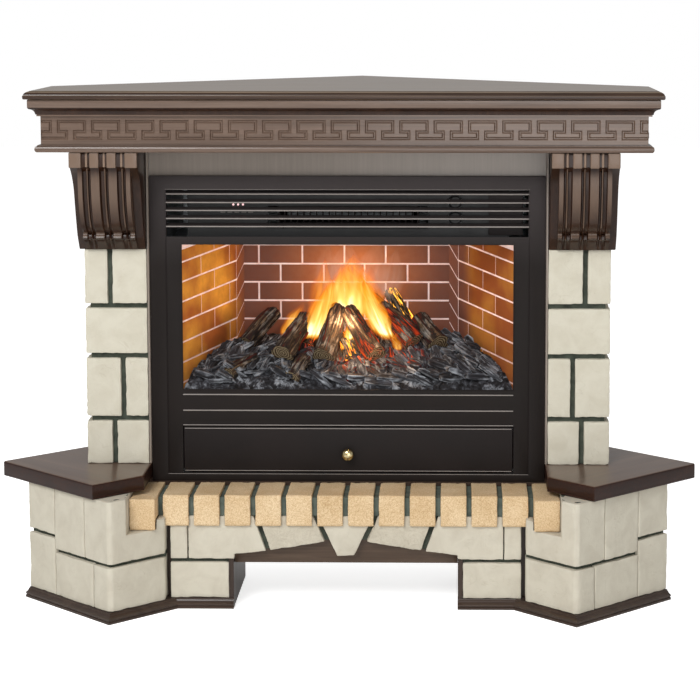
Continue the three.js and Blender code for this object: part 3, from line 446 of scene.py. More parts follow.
@dataclass(frozen=True)
class Walnut:
    """Stained walnut veneer under a satin lacquer."""

    name: str
    grain: Grain
    dark: Colour = (78, 61, 51)
    middle: Colour = (98, 79, 67)
    light: Colour = (118, 97, 83)
    coat: float = 0.5

    def make(self) -> bpy.types.Material:
        """Makes the material: fine streaks, a slow figure, pores, a clear coat, and a painted highlight where the mesh
        asks for one.
        """
        stretch, turn = self.grain.value
        recipe = Recipe(self.name, Coat_Weight=self.coat, Coat_Roughness=0.17, Coat_IOR=1.5,
                        Specular_IOR_Level=0.25)
        fine = recipe.noise(recipe.place(stretch, turn), 1.0, 5.0, 0.62, 0.4)
        slow = [0.3 * s if s < 50 else 0.07 * s for s in stretch]
        figure = recipe.noise(recipe.place(slow, turn), 1.0, 3.0, 0.55, 1.6)
        mixed = recipe.sum("ADD", recipe.sum("MULTIPLY", fine, 0.55), recipe.sum("MULTIPLY", figure, 0.45))
        stops = ((0.30, self.dark), (0.50, self.middle), (0.70, self.light))
        # Where the mesh carries a share for it, the colour is lightened towards a pale brown: a painted highlight.
        painted_highlight = recipe.sum("MULTIPLY", recipe.attribute("painted_highlight", "Fac"), 0.75)
        recipe.feed(Base_Color=recipe.blend(painted_highlight, recipe.ramp(mixed, stops), tone((168, 142, 122))))
        pores = recipe.noise(recipe.place([1.7 * s for s in stretch], turn), 1.0, 2.0)
        recipe.feed(Roughness=recipe.shift(fine, (0.3, 0.7), (0.30, 0.42)),
                    Normal=recipe.bump(pores, 0.00012, 0.5))
        return recipe.material


@dataclass(frozen=True)
class CastStone:
    """Cream cast stone with a riven face, matt, a little darker along its riven lines."""

    name: str
    light: Colour = (202, 197, 181)
    shade: Colour = (193, 187, 170)
    vein: Colour = (176, 166, 146)
    veined: bool = False

    def make(self) -> bpy.types.Material:
        """Makes the material: slow patches, riven lines, fine grit, and veins where it has them."""
        recipe = Recipe(self.name, Roughness=0.93, Specular_IOR_Level=0.2)
        spot = recipe.place()
        patches = recipe.noise(spot, 26.0, 5.0, 0.6, 0.5)
        colour = recipe.ramp(patches, ((0.32, self.shade), (0.62, self.light)))
        lines = recipe.sum("ABSOLUTE", recipe.sum("SUBTRACT", recipe.noise(
            recipe.place((1.0, 1.0, 1.6)), 19.0, 2.0, 0.5, 1.2), 0.5), 0.0)
        crack = recipe.shift(lines, (0.0, 0.009), (1.0, 0.0))
        broken = recipe.shift(recipe.noise(spot, 30.0, 1.0), (0.5, 0.6))
        riven = recipe.sum("MULTIPLY", crack, broken)
        colour = recipe.blend(recipe.sum("MULTIPLY", riven, 0.3), colour, tone(self.vein))
        grit = recipe.noise(spot, 900.0, 3.0, 0.7)
        rough = recipe.noise(spot, 130.0, 6.0, 0.62)
        strokes = recipe.noise(recipe.place((120.0, 120.0, 14.0)), 1.0, 3.0, 0.55, 1.5)
        depth = recipe.sum("SUBTRACT", rough, recipe.sum("MULTIPLY", riven, 0.5))
        depth = recipe.sum("ADD", depth, recipe.sum("MULTIPLY", strokes, 0.7))
        if self.veined:
            curls = recipe.sum("ABSOLUTE", recipe.sum("SUBTRACT", recipe.noise(
                spot, 75.0, 3.0, 0.55, 2.4), 0.5), 0.0)
            veins = recipe.shift(curls, (0.0, 0.03), (1.0, 0.0))
            colour = recipe.blend(recipe.sum("MULTIPLY", veins, 0.55), colour, tone(self.vein))
            depth = recipe.sum("SUBTRACT", depth, recipe.sum("MULTIPLY", veins, 0.8))
        recipe.feed(Base_Color=colour)
        recipe.feed(Normal=recipe.bump(grit, 0.0003, 0.3, recipe.bump(depth, 0.0011, 0.5)))
        return recipe.material


@dataclass(frozen=True)
class Mortar:
    """Smooth dark pointing with a fine grain."""

    name: str
    light: Colour
    dark: Colour

    def make(self) -> bpy.types.Material:
        """Makes the material: two close tones and a fine grain."""
        recipe = Recipe(self.name, Roughness=0.85, Specular_IOR_Level=0.25)
        spot = recipe.place()
        colour = recipe.ramp(recipe.noise(spot, 60.0, 4.0), ((0.35, self.dark), (0.65, self.light)))
        recipe.feed(Base_Color=colour, Normal=recipe.bump(recipe.noise(spot, 700.0, 2.0), 0.0003, 0.4))
        return recipe.material


@dataclass(frozen=True)
class SandBrick:
    """Sandy brick: grains, pits, and a tone that changes from brick to brick."""

    name: str = "sand_brick_face"
    light: Colour = (220, 198, 164)
    middle: Colour = (205, 180, 144)
    dark: Colour = (188, 160, 122)

    def make(self) -> bpy.types.Material:
        """Makes the material: slow tones, dark and pale grains, and small pits."""
        recipe = Recipe(self.name, Roughness=0.95, Specular_IOR_Level=0.15)
        spot = recipe.place()
        slow = recipe.noise(spot, 14.0, 2.0)
        colour = recipe.ramp(slow, ((0.3, self.dark), (0.5, self.middle), (0.68, self.light)))
        grains = recipe.noise(spot, 520.0, 3.0, 0.7)
        freckles = recipe.ramp(grains, ((0.36, (172, 132, 88)), (0.52, (222, 194, 152)), (0.7, (244, 224, 190))))
        colour = recipe.blend(0.5, colour, freckles)
        pits = recipe.shift(recipe.cells(spot, 260.0), (0.12, 0.3))
        colour = recipe.blend(recipe.sum("MULTIPLY", recipe.sum("SUBTRACT", 1.0, pits), 0.35), colour,
                              tone((170, 120, 74)))
        height = recipe.sum("ADD", recipe.sum("MULTIPLY", pits, 0.7), grains)
        recipe.feed(Base_Color=colour, Normal=recipe.bump(height, 0.0007, 0.55))
        return recipe.material


@dataclass(frozen=True)
class PowderCoat:
    """Fine-textured powder coat on sheet steel."""

    name: str
    colour: Colour
    edge: Colour
    # A paler colour painted towards the top of the insert as a sheen.
    painted_sheen: Colour = (66, 60, 60)

    def make(self) -> bpy.types.Material:
        """Makes the material: a fine orange-peel grain, a slightly uneven gloss, and a painted sheen towards the top.
        """
        recipe = Recipe(self.name, Specular_IOR_Level=0.15)
        spot = recipe.place()
        cloud = recipe.noise(spot, 9.0, 3.0)
        colour = recipe.ramp(cloud, ((0.3, self.colour), (0.7, self.edge)))
        # The coat is painted paler towards the top of the insert, a painted sheen.
        tall = recipe.shift(recipe.node("SeparateXYZ", {0: spot}).outputs[2], (0.62, 0.78), (0.0, 0.8))
        colour = recipe.blend(tall, colour, tone(self.painted_sheen))
        grain = recipe.noise(spot, 1500.0, 2.0, 0.6)
        recipe.feed(Base_Color=colour, Roughness=recipe.shift(cloud, (0.3, 0.7), (0.5, 0.6)),
                    Normal=recipe.bump(grain, 0.00012, 0.5))
        return recipe.material


@dataclass(frozen=True)
class Galvanised:
    """Galvanised or bare sheet metal, with its spangle and a light brushing."""

    name: str
    light: Colour
    dark: Colour
    roughness: float = 0.42

    def make(self) -> bpy.types.Material:
        """Makes the material: spangle cells, fine scratches and an uneven gloss."""
        recipe = Recipe(self.name, Metallic=0.9)
        spot = recipe.place()
        spangle = recipe.node("TexVoronoi", {"Vector": spot, "Scale": 95.0}).outputs["Color"]
        colour = recipe.ramp(spangle, ((0.0, self.dark), (1.0, self.light)))
        scratches = recipe.noise(recipe.place((20, 900, 900)), 1.0, 2.0)
        low, high = self.roughness - 0.06, self.roughness + 0.1
        recipe.feed(Base_Color=colour, Roughness=recipe.shift(scratches, (0.3, 0.7), (low, high)),
                    Normal=recipe.bump(scratches, 0.00005, 0.4))
        return recipe.material


@dataclass(frozen=True)
class Moulded:
    """Moulded plastic with a fine spark texture."""

    name: str
    colour: Colour
    roughness: float = 0.5
    clear: float = 0.0

    def make(self) -> bpy.types.Material:
        """Makes the material: a faint mottle, and some light through it where it is clear."""
        recipe = Recipe(self.name, Transmission_Weight=self.clear, IOR=1.45)
        spot = recipe.place()
        dim = tuple(int(0.82 * c) for c in self.colour)
        mottle = recipe.noise(spot, 40.0, 3.0)
        grain = recipe.noise(spot, 1800.0, 2.0)
        recipe.feed(Base_Color=recipe.ramp(mottle, ((0.3, dim), (0.7, self.colour))),
                    Roughness=recipe.shift(mottle, (0.3, 0.7), (self.roughness - 0.05, self.roughness + 0.05)),
                    Normal=recipe.bump(grain, 0.00008, 0.4))
        return recipe.material


@dataclass(frozen=True)
class PolishedBrass:
    """Pale polished brass with light tarnish."""

    name: str = "polished_brass"

    def make(self) -> bpy.types.Material:
        """Makes the material: a clean metal with a slightly darker bloom."""
        recipe = Recipe(self.name, Metallic=1.0)
        bloom = recipe.noise(recipe.place(), 180.0, 4.0, 0.6)
        recipe.feed(Base_Color=recipe.ramp(bloom, ((0.35, (178, 156, 106)), (0.65, (226, 212, 170)))),
                    Roughness=recipe.shift(bloom, (0.3, 0.7), (0.14, 0.26)))
        return recipe.material


@dataclass(frozen=True)
class GlowingBrick:
    """The firebox's printed brick, with the fire's light and shade painted into its colour and a painted glow."""

    name: str = "fire_brick_face"
    glow: float = 0.2

    def make(self) -> bpy.types.Material:
        """Makes the material: brown brick painted orange towards the fire and darker away from it and low down, with a
        painted glow.
        """
        recipe = Recipe(self.name, Roughness=0.8, Specular_IOR_Level=0.2, Emission_Strength=self.glow)
        spot = recipe.place()
        cut = recipe.node("SeparateXYZ", {0: spot})
        aside = recipe.sum("ABSOLUTE", cut.outputs[0], 0.0)
        # The side walls are painted orange all over, and the back wall orange in the middle and brown beside it:
        # painted firelight.
        side = recipe.shift(aside, (0.215, 0.235))
        middle = recipe.shift(aside, (0.03, 0.17), (1.0, 0.0))
        speck = recipe.noise(spot, 70.0, 4.0, 0.6)
        patch = recipe.noise(spot, 9.0, 2.0)
        back = recipe.blend(middle, tone((112, 74, 62)), tone((160, 102, 68)))
        flank = recipe.ramp(patch, ((0.38, (158, 88, 38)), (0.6, (214, 150, 56))))
        # The right side wall is painted darker, painted shade.
        right = recipe.shift(cut.outputs[0], (0.15, 0.2), (0.0, 0.62))
        flank = recipe.blend(right, flank, tone((104, 52, 24)))
        colour = recipe.blend(side, back, flank)
        # Low down, near the ember bed, the brick is painted darker: painted shade.
        low = recipe.shift(cut.outputs[2], (0.40, 0.52), (0.7, 0.0))
        colour = recipe.blend(low, colour, tone((92, 44, 24)))
        colour = recipe.blend(recipe.shift(speck, (0.4, 0.75), (0.0, 0.25)), colour, tone((120, 60, 36)))
        # The brick glows with its own colour, a painted glow of firelight.
        recipe.feed(Base_Color=colour, Emission_Color=colour,
                    Normal=recipe.bump(speck, 0.0004, 0.4))
        return recipe.material


@dataclass(frozen=True)
class GlowingMortar:
    """The pale joints of the firebox's brick print."""

    name: str = "fire_mortar"

    def make(self) -> bpy.types.Material:
        """Makes the material: pinkish white, painted dimmer towards the coals as painted shade, with a painted glow."""
        recipe = Recipe(self.name, Roughness=0.85, Specular_IOR_Level=0.2, Emission_Strength=0.42)
        spot = recipe.place()
        tall = recipe.node("SeparateXYZ", {0: spot}).outputs[2]
        colour = recipe.ramp(recipe.noise(spot, 50.0, 3.0), ((0.3, (206, 178, 172)), (0.7, (232, 212, 208))))
        # Low down the mortar is painted darker, painted shade.
        low = recipe.shift(tall, (0.42, 0.52), (0.6, 0.0))
        colour = recipe.blend(low, colour, tone((120, 76, 56)))
        recipe.feed(Base_Color=colour, Emission_Color=colour)
        return recipe.material


@dataclass(frozen=True)
class CharredWood:
    """Charred, ashy wood whose cracks still glow near the fire. It follows the mesh's own grain."""

    name: str
    char: Colour = (34, 29, 26)
    wood: Colour = (104, 82, 60)
    ash: Colour = (150, 146, 140)
    glow: float = 6.0

    def make(self) -> bpy.types.Material:
        """Makes the material: long cracks, ash on the ridges, a paler cut end, and embers."""
        recipe = Recipe(self.name, Roughness=0.9, Specular_IOR_Level=0.2)
        along = recipe.attribute("grain")
        stretched = recipe.node("Mapping", {"Vector": along, "Scale": (150.0, 150.0, 16.0)}).outputs[0]
        fibres = recipe.noise(stretched, 1.0, 5.0, 0.65, 0.6)
        blotch = recipe.noise(along, 30.0, 4.0, 0.6)
        colour = recipe.ramp(fibres, ((0.33, (14, 11, 10)), (0.5, self.char), (0.66, self.wood)))
        ashy = recipe.shift(recipe.sum("MULTIPLY", fibres, blotch), (0.27, 0.42), (0.0, 0.8))
        colour = recipe.blend(ashy, colour, tone(self.ash))
        worn = recipe.sum("MULTIPLY", recipe.attribute("worn", "Fac"), recipe.shift(blotch, (0.42, 0.7), (0.0, 0.6)))
        colour = recipe.blend(worn, colour, tone(self.ash))
        # On the cut end, the yearly rings show.
        end = recipe.attribute("cut_end", "Fac")
        reach = recipe.node("VectorMath", {0: along, 1: (1, 1, 0)}, operation="MULTIPLY").outputs[0]
        radius = recipe.node("VectorMath", {0: reach}, operation="LENGTH").outputs["Value"]
        rings = recipe.sum("SINE", recipe.sum("ADD", recipe.sum("MULTIPLY", radius, 1300.0),
                                              recipe.sum("MULTIPLY", blotch, 22.0)), 0.0)
        face = recipe.ramp(recipe.shift(rings, (-1.0, 1.0)), ((0.1, (58, 46, 34)), (0.5, (96, 80, 60)), (0.9, (140, 124, 96))))
        colour = recipe.blend(end, colour, face)
        heat = recipe.attribute("warmth", "Fac")
        crack = recipe.shift(fibres, (0.34, 0.46), (1.0, 0.0))
        ember = recipe.sum("MULTIPLY", recipe.sum("MULTIPLY", crack, heat), self.glow)
        fiery = recipe.ramp(heat, ((0.0, (150, 30, 6)), (0.5, (235, 80, 14)), (1.0, (255, 176, 60))))
        recipe.feed(Base_Color=colour, Emission_Color=fiery, Emission_Strength=ember,
                    Normal=recipe.bump(fibres, 0.0016, 0.8))
        return recipe.material


@dataclass(frozen=True)
class Glow:
    """Light that leaves a thin sheet, clear where the sheet's heat is nil."""

    name: str
    stops: tuple[tuple[float, Colour], ...]
    strength: float
    cover: float

    def make(self) -> bpy.types.Material:
        """Makes the material: the colour and the cover both follow the mesh's heat."""
        recipe = Recipe(self.name, Base_Color=(0, 0, 0, 1), Roughness=1.0, Specular_IOR_Level=0.0)
        heat = recipe.attribute("warmth", "Fac")
        recipe.feed(Emission_Color=recipe.ramp(heat, self.stops), Emission_Strength=self.strength,
                    Alpha=recipe.sum("MULTIPLY", recipe.sum("POWER", heat, 0.8), self.cover))
        return recipe.material


class Finishes:
    """Every material that the fireplace is made of, each made once."""

    def __init__(self) -> None:
        """Makes the materials."""
        self.veneer = {grain: Walnut(f"walnut_{grain.name.lower()}", grain).make() for grain in Grain}
        dark = {"dark": (40, 28, 22), "middle": (56, 42, 34), "light": (72, 56, 46), "coat": 0.3}
        self.dark = {grain: Walnut(f"dark_walnut_{grain.name.lower()}", grain, **dark).make() for grain in Grain}
        # Two copies of the walnut for the mantel board: walnut_edge, darker, for its front and ends is painted shade,
        # and walnut_top, paler, for the faces that look up or down is a painted reflection.
        edge = {"dark": (32, 19, 12), "middle": (50, 33, 23), "light": (70, 50, 37), "coat": 0.2}
        apron = {"dark": (64, 50, 40), "middle": (82, 66, 54), "light": (96, 80, 66), "coat": 0.2}
        self.apron = Walnut("walnut_apron", Grain.ACROSS, **apron).make()
        top = {"dark": (96, 77, 56), "middle": (114, 93, 69), "light": (130, 108, 82), "coat": 0.6}
        self.top = Walnut("walnut_top", Grain.ACROSS, **top).make()
        self.edge = Walnut("walnut_edge", Grain.ACROSS, **edge).make()
        carved = {"dark": (28, 13, 6), "middle": (44, 24, 13), "light": (62, 39, 25), "coat": 0.2}
        self.carved = Walnut("walnut_carved", Grain.UPRIGHT, **carved).make()
        # A near-black copy of the walnut for the shelves' fronts and ends, painted shade.
        rim = {"dark": (26, 9, 2), "middle": (40, 16, 6), "light": (56, 28, 14), "coat": 0.15}
        self.shelf_rim = Walnut("walnut_shelf_rim", Grain.ACROSS, **rim).make()
        panel = {"dark": (128, 117, 107), "middle": (134, 123, 113), "light": (140, 129, 119), "coat": 0.35}
        self.panel = Walnut("walnut_panel", Grain.UPRIGHT, **panel).make()
        self.stone = CastStone("cast_stone_cream").make()
        self.grey_stone = CastStone("cast_stone_grey", (200, 194, 178), (190, 183, 167)).make()
        self.veined_stone = CastStone("cast_stone_veined", (198, 191, 174), (186, 178, 161), veined=True).make()
        self.grout = Mortar("grout", (74, 80, 70), (52, 57, 50)).make()
        self.hearth_mortar = Mortar("hearth_mortar", (96, 106, 98), (76, 86, 80)).make()
        self.brick = SandBrick().make()
        self.steel = PowderCoat("black_powder_coat", (24, 19, 17), (30, 24, 22)).make()
        self.drawer_steel = PowderCoat("drawer_powder_coat", (26, 21, 20), (32, 26, 25)).make()
        # A pale grey for thin strips that paint the highlight on folded edges, slat noses and the drawer's rims; it
        # also colours the control panel's marks.
        self.highlight_and_mark_grey = PowderCoat("pale_grey_highlights_and_marks", (132, 126, 122), (148, 141, 136), (132, 126, 122)).make()
        self.galvanised = Galvanised("galvanised_sheet", (176, 180, 182), (150, 155, 158)).make()
        self.rotor = Galvanised("rotor_aluminium", (178, 182, 184), (150, 154, 156), 0.3).make()
        self.plastic = Moulded("black_moulding", (29, 29, 30)).make()
        self.clear = Moulded("smoky_moulding", (190, 205, 210), 0.12, 0.75).make()
        self.brass = PolishedBrass().make()
        self.fire_brick = GlowingBrick().make()
        self.fire_mortar = GlowingMortar().make()
        self.log = CharredWood("charred_log").make()
        self.coal = CharredWood("coal", (44, 43, 46), (86, 88, 94), (168, 172, 178)).make()
        self.flame = Glow("flame_sheet", ((0.0, (214, 84, 10)), (0.35, (250, 150, 30)), (0.75, (255, 214, 110)),
                                          (1.0, (255, 244, 206))), 1.5, 0.96).make()
        self.smoke = Glow("mist_sheet", ((0.0, (206, 140, 104)), (1.0, (240, 214, 196))), 0.8, 0.42).make()
        self.lamp = Glow("lamp_glow", ((0.0, (255, 120, 120)), (1.0, (255, 214, 214))), 1.3, 1.0).make()


# ---------------------------------------------------------------- studio
@dataclass(frozen=True)
class Studio:
    """The camera of the photograph, a pale floor and soft studio light."""

    place: tuple[float, float, float] = (0.2015, -4.2272, 1.1165)
    turned_left: float = 0.954
    tipped_down: float = 6.489
    lens: float = 112.02
    shift: tuple[float, float] = (-0.1, -0.15)

    def build(self) -> None:
        """Makes all of the studio."""
        self.make_camera()
        self.make_floor()
        self.make_world()
        self.make_lamp("key_lamp", (-1.5, -4.2, 3.4), 1.8, 150.0)
        self.make_lamp("front_lamp", (0.9, -4.9, 0.95), 2.2, 52.0)
        self.make_lamp("back_lamp", (0.0, 2.4, 3.4), 2.4, 30.0)

    def make_camera(self) -> None:
        """Puts the camera where the photograph was taken from."""
        data = bpy.data.cameras.new("camera")
        data.lens, data.sensor_width = self.lens, 36.0
        data.shift_x, data.shift_y = self.shift
        camera = bpy.data.objects.new("camera", data)
        camera.location = self.place
        camera.rotation_euler = (math.radians(90 - self.tipped_down), 0, math.radians(self.turned_left))
        bpy.context.scene.collection.objects.link(camera)
        bpy.context.scene.camera = camera

    def make_floor(self) -> None:
        """Lays a plain pale floor."""
        bm = bmesh.new()
        bmesh.ops.create_grid(bm, x_segments=1, y_segments=1, size=12.0)
        mesh = bpy.data.meshes.new("floor")
        bm.to_mesh(mesh)
        bm.free()
        recipe = Recipe("pale_floor", Roughness=0.6, Specular_IOR_Level=0.2, Emission_Color=(1, 1, 1, 1))
        seen = recipe.node("LightPath", {}).outputs["Is Camera Ray"]
        recipe.feed(Emission_Strength=recipe.shift(seen, (0.0, 1.0), (0.1, 0.72)))
        soft = recipe.noise(recipe.place(), 2.0, 2.0)
        recipe.feed(Base_Color=recipe.ramp(soft, ((0.3, (243, 243, 242)), (0.7, (248, 248, 247)))))
        mesh.materials.append(recipe.material)
        floor = bpy.data.objects.new("floor", mesh)
        bpy.context.scene.collection.objects.link(floor)

    def make_world(self) -> None:
        """Makes the backdrop white, with less light from it than a white room would give."""
        world = bpy.data.worlds.new("studio")
        world.use_nodes = True
        tree = world.node_tree
        tree.nodes.clear()
        path = tree.nodes.new("ShaderNodeLightPath")
        seen = tree.nodes.new("ShaderNodeMath")
        seen.operation = "MAXIMUM"
        tree.links.new(path.outputs["Is Camera Ray"], seen.inputs[0])
        tree.links.new(path.outputs["Is Transmission Ray"], seen.inputs[1])
        level = tree.nodes.new("ShaderNodeMapRange")
        level.inputs["To Min"].default_value = 0.42
        level.inputs["To Max"].default_value = 1.0
        tree.links.new(seen.outputs[0], level.inputs["Value"])
        light = tree.nodes.new("ShaderNodeBackground")
        tree.links.new(level.outputs["Result"], light.inputs["Strength"])
        output = tree.nodes.new("ShaderNodeOutputWorld")
        tree.links.new(light.outputs[0], output.inputs["Surface"])
        light.inputs["Color"].default_value = (1, 1, 1, 1)
        bpy.context.scene.world = world
        bpy.context.scene.view_settings.view_transform = "Standard"

    def make_lamp(self, name: str, place: Sequence[float], size: float, watts: float) -> None:
        """Hangs a soft square lamp that faces the middle of the fireplace.

        Args:
            name: The lamp's name.
            place: Where it hangs, in metres.
            size: The length of its side.
            watts: Its power.
        """
        data = bpy.data.lights.new(name, "AREA")
        data.size, data.energy = size, watts
        lamp = bpy.data.objects.new(name, data)
        lamp.location = place
        lamp.visible_glossy = place[1] < 0
        lamp.rotation_euler = (Vector((0, 0, 0.5)) - Vector(place)).to_track_quat("-Z", "Y").to_euler()
        bpy.context.scene.collection.objects.link(lamp)


# ---------------------------------------------------------------- mantel
WALLS_MEET = 660.0
GAP = 0.3


def to_wall(x: float) -> float:
    """How far back a piece at x may reach before it meets the wall."""
    return WALLS_MEET - GAP - abs(x)


def trim(bm: bmesh.types.BMesh, point: Sequence[float], away: Sequence[float]) -> None:
    """Cuts off all that lies beyond a plane, and closes the cut.

    Args:
        bm: The solid.
        point: A point of the plane.
        away: The plane's normal, towards what goes.
    """
    everything = bm.verts[:] + bm.edges[:] + bm.faces[:]
    made = bmesh.ops.bisect_plane(bm, geom=everything, dist=1e-4, plane_co=Vector(point),
                                  plane_no=Vector(away), clear_outer=True)["geom_cut"]
    edges = [item for item in made if isinstance(item, bmesh.types.BMEdge)]
    bmesh.ops.holes_fill(bm, edges=edges)
    bmesh.ops.recalc_face_normals(bm, faces=bm.faces)


def to_side(bm: bmesh.types.BMesh, sign: int) -> bmesh.types.BMesh:
    """Mirrors a right-hand solid in the plane x = 0 where the sign is negative."""
    if sign < 0:
        bmesh.ops.scale(bm, vec=(-1, 1, 1), verts=bm.verts)
        bmesh.ops.reverse_faces(bm, faces=bm.faces)
    return bm


def bevel(bm: bmesh.types.BMesh, edges: list[bmesh.types.BMEdge], width: float, segments: int) -> None:
    """Rounds the given edges."""
    bmesh.ops.bevel(bm, geom=edges, offset=width, offset_type="OFFSET", segments=segments,
                    profile=0.5, affect="EDGES", clamp_overlap=True, material=-1)


def loft(rings: Sequence[Sequence[Vector]]) -> bmesh.types.BMesh:
    """The closed skin over a row of rings with equal counts of points."""
    bm = bmesh.new()
    grid = [[bm.verts.new(point) for point in ring] for ring in rings]
    for near, far in zip(grid, grid[1:]):
        for at, vert in enumerate(near):
            after = (at + 1) % len(near)
            bm.faces.new((vert, near[after], far[after], far[at]))
    bm.faces.new(grid[0])
    bm.faces.new(grid[-1])
    bmesh.ops.recalc_face_normals(bm, faces=bm.faces)
    return bm


@dataclass(frozen=True)
class Meander:
    """The Greek key that runs round the frieze, as a groove of even width."""

    pitch: float = 61.6
    width: float = 6.0
    high: float = 894.5
    middle: float = 876.3
    low: float = 864.5

    def segments(self, start: float, low: float, high: float) -> list[tuple[float, float, float, float]]:
        """The groove's straight pieces.

        Args:
            start: Where a unit of the pattern starts, measured along the board.
            low: The board's start.
            high: Its end.

        Returns:
            Each piece's least and greatest place along the board, and its least and greatest height.
        """
        line: list[tuple[float, float]] = []
        unit = start
        while unit < high + self.pitch:
            if unit > low - 2 * self.pitch:
                back, out, over = (unit + share * self.pitch for share in (0.471, 0.763, 1.234))
                line += [(unit, self.high), (out, self.high), (out, self.middle), (back, self.middle),
                         (back, self.low), (over, self.low), (over, self.middle),
                         (unit + self.pitch, self.middle)]
            unit += self.pitch
        half = self.width / 2
        spans = []
        for (u0, z0), (u1, z1) in zip(line, line[1:]):
            spans.append((min(u0, u1) - half, max(u0, u1) + half, min(z0, z1) - half, max(z0, z1) + half))
        return [span for span in spans if span[1] > low and span[0] < high]

    def carve(self, bm: bmesh.types.BMesh, along: Vector, face: Vector, start: float) -> None:
        """Cuts the groove into one face of a board.

        Args:
            bm: The board.
            along: The direction in which the pattern runs.
            face: The normal of the face that it is cut into.
            start: Where a unit of the pattern starts along the board.
        """
        reach = [vert.co.dot(along) for vert in bm.verts]
        spans = self.segments(start, min(reach), max(reach))
        uprights = {round(at, 4) for span in spans if span[3] - span[2] > self.width for at in span[:2]}
        levels = {level + side * self.width / 2 for level in (self.high, self.middle, self.low) for side in (-1, 1)}
        cuts = [(along, at) for at in uprights if min(reach) < at < max(reach)]
        cuts += [(Axis.Z.value, at) for at in levels]
        for direction, at in cuts:
            everything = bm.verts[:] + bm.edges[:] + bm.faces[:]
            bmesh.ops.bisect_plane(bm, geom=everything, dist=1e-4, plane_co=direction * at, plane_no=direction)
        bm.normal_update()
        groove = []
        for patch in bm.faces:
            if patch.normal.dot(face) > 0.9:
                middle = patch.calc_center_median()
                place, tall = middle.dot(along), middle.z
                if any(a < place < b and low < tall < high for a, b, low, high in spans):
                    groove.append(patch)
        bmesh.ops.inset_region(bm, faces=groove, thickness=2.3, depth=-3.4, use_even_offset=True,
                               use_boundary=True)


@dataclass(frozen=True)
class Mantel:
    """The mantel board, its crown, the frieze with its Greek key, and the moulding below."""

    finishes: Finishes
    frieze_half: float = 546.0
    front: float = -105.0

    def build(self) -> None:
        """Makes all of the mantel."""
        self.make_top()
        self.make_frieze()
        self.make_mouldings()
        dress(["mantel_soffit"], self.finishes.dark[Grain.ACROSS])

    def make_top(self) -> None:
        """Makes the mantel board, with a bullnose below and an ovolo above at its front and ends."""
        half, front = 573.0, -132.0
        edge = [(935.0, 2.6), (935.5, 1.2), (936.6, 0.3), (938.0, 0.0), (941.6, 0.0), (942.2, 0.9)]
        edge += [(z, inset) for z, inset in bend((942.6, 1.0), (947.6, 2.4), (949.2, 9.2), steps=7)]
        edge += [(949.5, 10.2), (950.0, 10.6)]
        rings = []
        for z, inset in edge:
            x, y = half - inset, front + inset
            rings.append([Vector(point) for point in ((-x, y, z), (x, y, z), (x, to_wall(x), z),
                                                      (0, WALLS_MEET - GAP, z), (-x, to_wall(x), z))])
        # The faces that look up or down take the paler walnut, a painted reflection; the front and ends take the darker
        # walnut, painted shade.
        piece("mantel_board", loft(rings), self.finishes.top, "walnut",
              replaces=["mantel_top"], edge=self.finishes.edge)

    def make_frieze(self) -> None:
        """Makes the front board and the two returns, each with its stretch of the key."""
        meander = Meander()
        bm = cube((-self.frieze_half, self.front, 852.3), (self.frieze_half, self.front + 16, 904))
        meander.carve(bm, Axis.X.value, -Axis.Y.value, 40.5 - 10 * meander.pitch)
        piece("frieze_board", bm, self.finishes.veneer[Grain.ACROSS], "walnut", replaces=["frieze_front"])
        for side, sign in SIDES:
            half, start = self.frieze_half, self.front + 16 + GAP
            outline = [(half - 16, start), (half, start), (half, to_wall(half)), (half - 16, to_wall(half - 16))]
            bm = prism(outline, Axis.Z, 852.3, 904)
            meander.carve(bm, Axis.Y.value, Axis.X.value, start - 2.6 * meander.pitch)
            piece(f"frieze_end_{side}", to_side(bm, sign), self.finishes.veneer[Grain.DEEP], "walnut",
                  replaces=[f"frieze_return_{side}"])

    def make_mouldings(self) -> None:
        """Makes the crown moulding under the board and the bead under the frieze."""
        half, end = self.frieze_half, to_wall(self.frieze_half)
        path = [(-half, end), (-half, self.front), (half, self.front), (half, end)]
        walls = (Vector((-1, 1, 0)).normalized(), Vector((1, 1, 0)).normalized())
        crown = [(-16, 904.3), (6, 904.3), (6, 907.2), (7.4, 907.6)]
        crown += bend((8, 908.2), (8.6, 915.6), (17.4, 917.6), steps=8)
        crown += [(18.6, 918.2), (19.4, 919.2), (20, 920.4), (20, 933.4), (18.9, 934.7), (-16, 934.7)]
        bead = [(-22, 839.3), (7.2, 839.3), (8.2, 840.1)]
        bead += bend((9, 840.8), (11.6, 845.2), (9, 849.4), steps=8)
        bead += [(6.6, 850.2), (6, 851), (6, 852), (-22, 852)]
        # Each moulding takes two copies of the walnut by the way its faces look: in the crown the slanting and flat
        # faces take the dark carved walnut and the upright faces the paler veneer, so its cove is painted shade; in the
        # bead the faces that look up or down take the dark walnut, painted shade.
        for name, profile, node in (("crown", crown, "crown_moulding"), ("bead", bead, "frieze_moulding")):
            bm = sweep(path, profile, walls)
            piece(f"mantel_{name}", bm, self.finishes.carved, "walnut", replaces=[node], smooth=28,
                  edge=self.finishes.veneer[Grain.ACROSS], steep=0.12 if name == "crown" else 0.8)


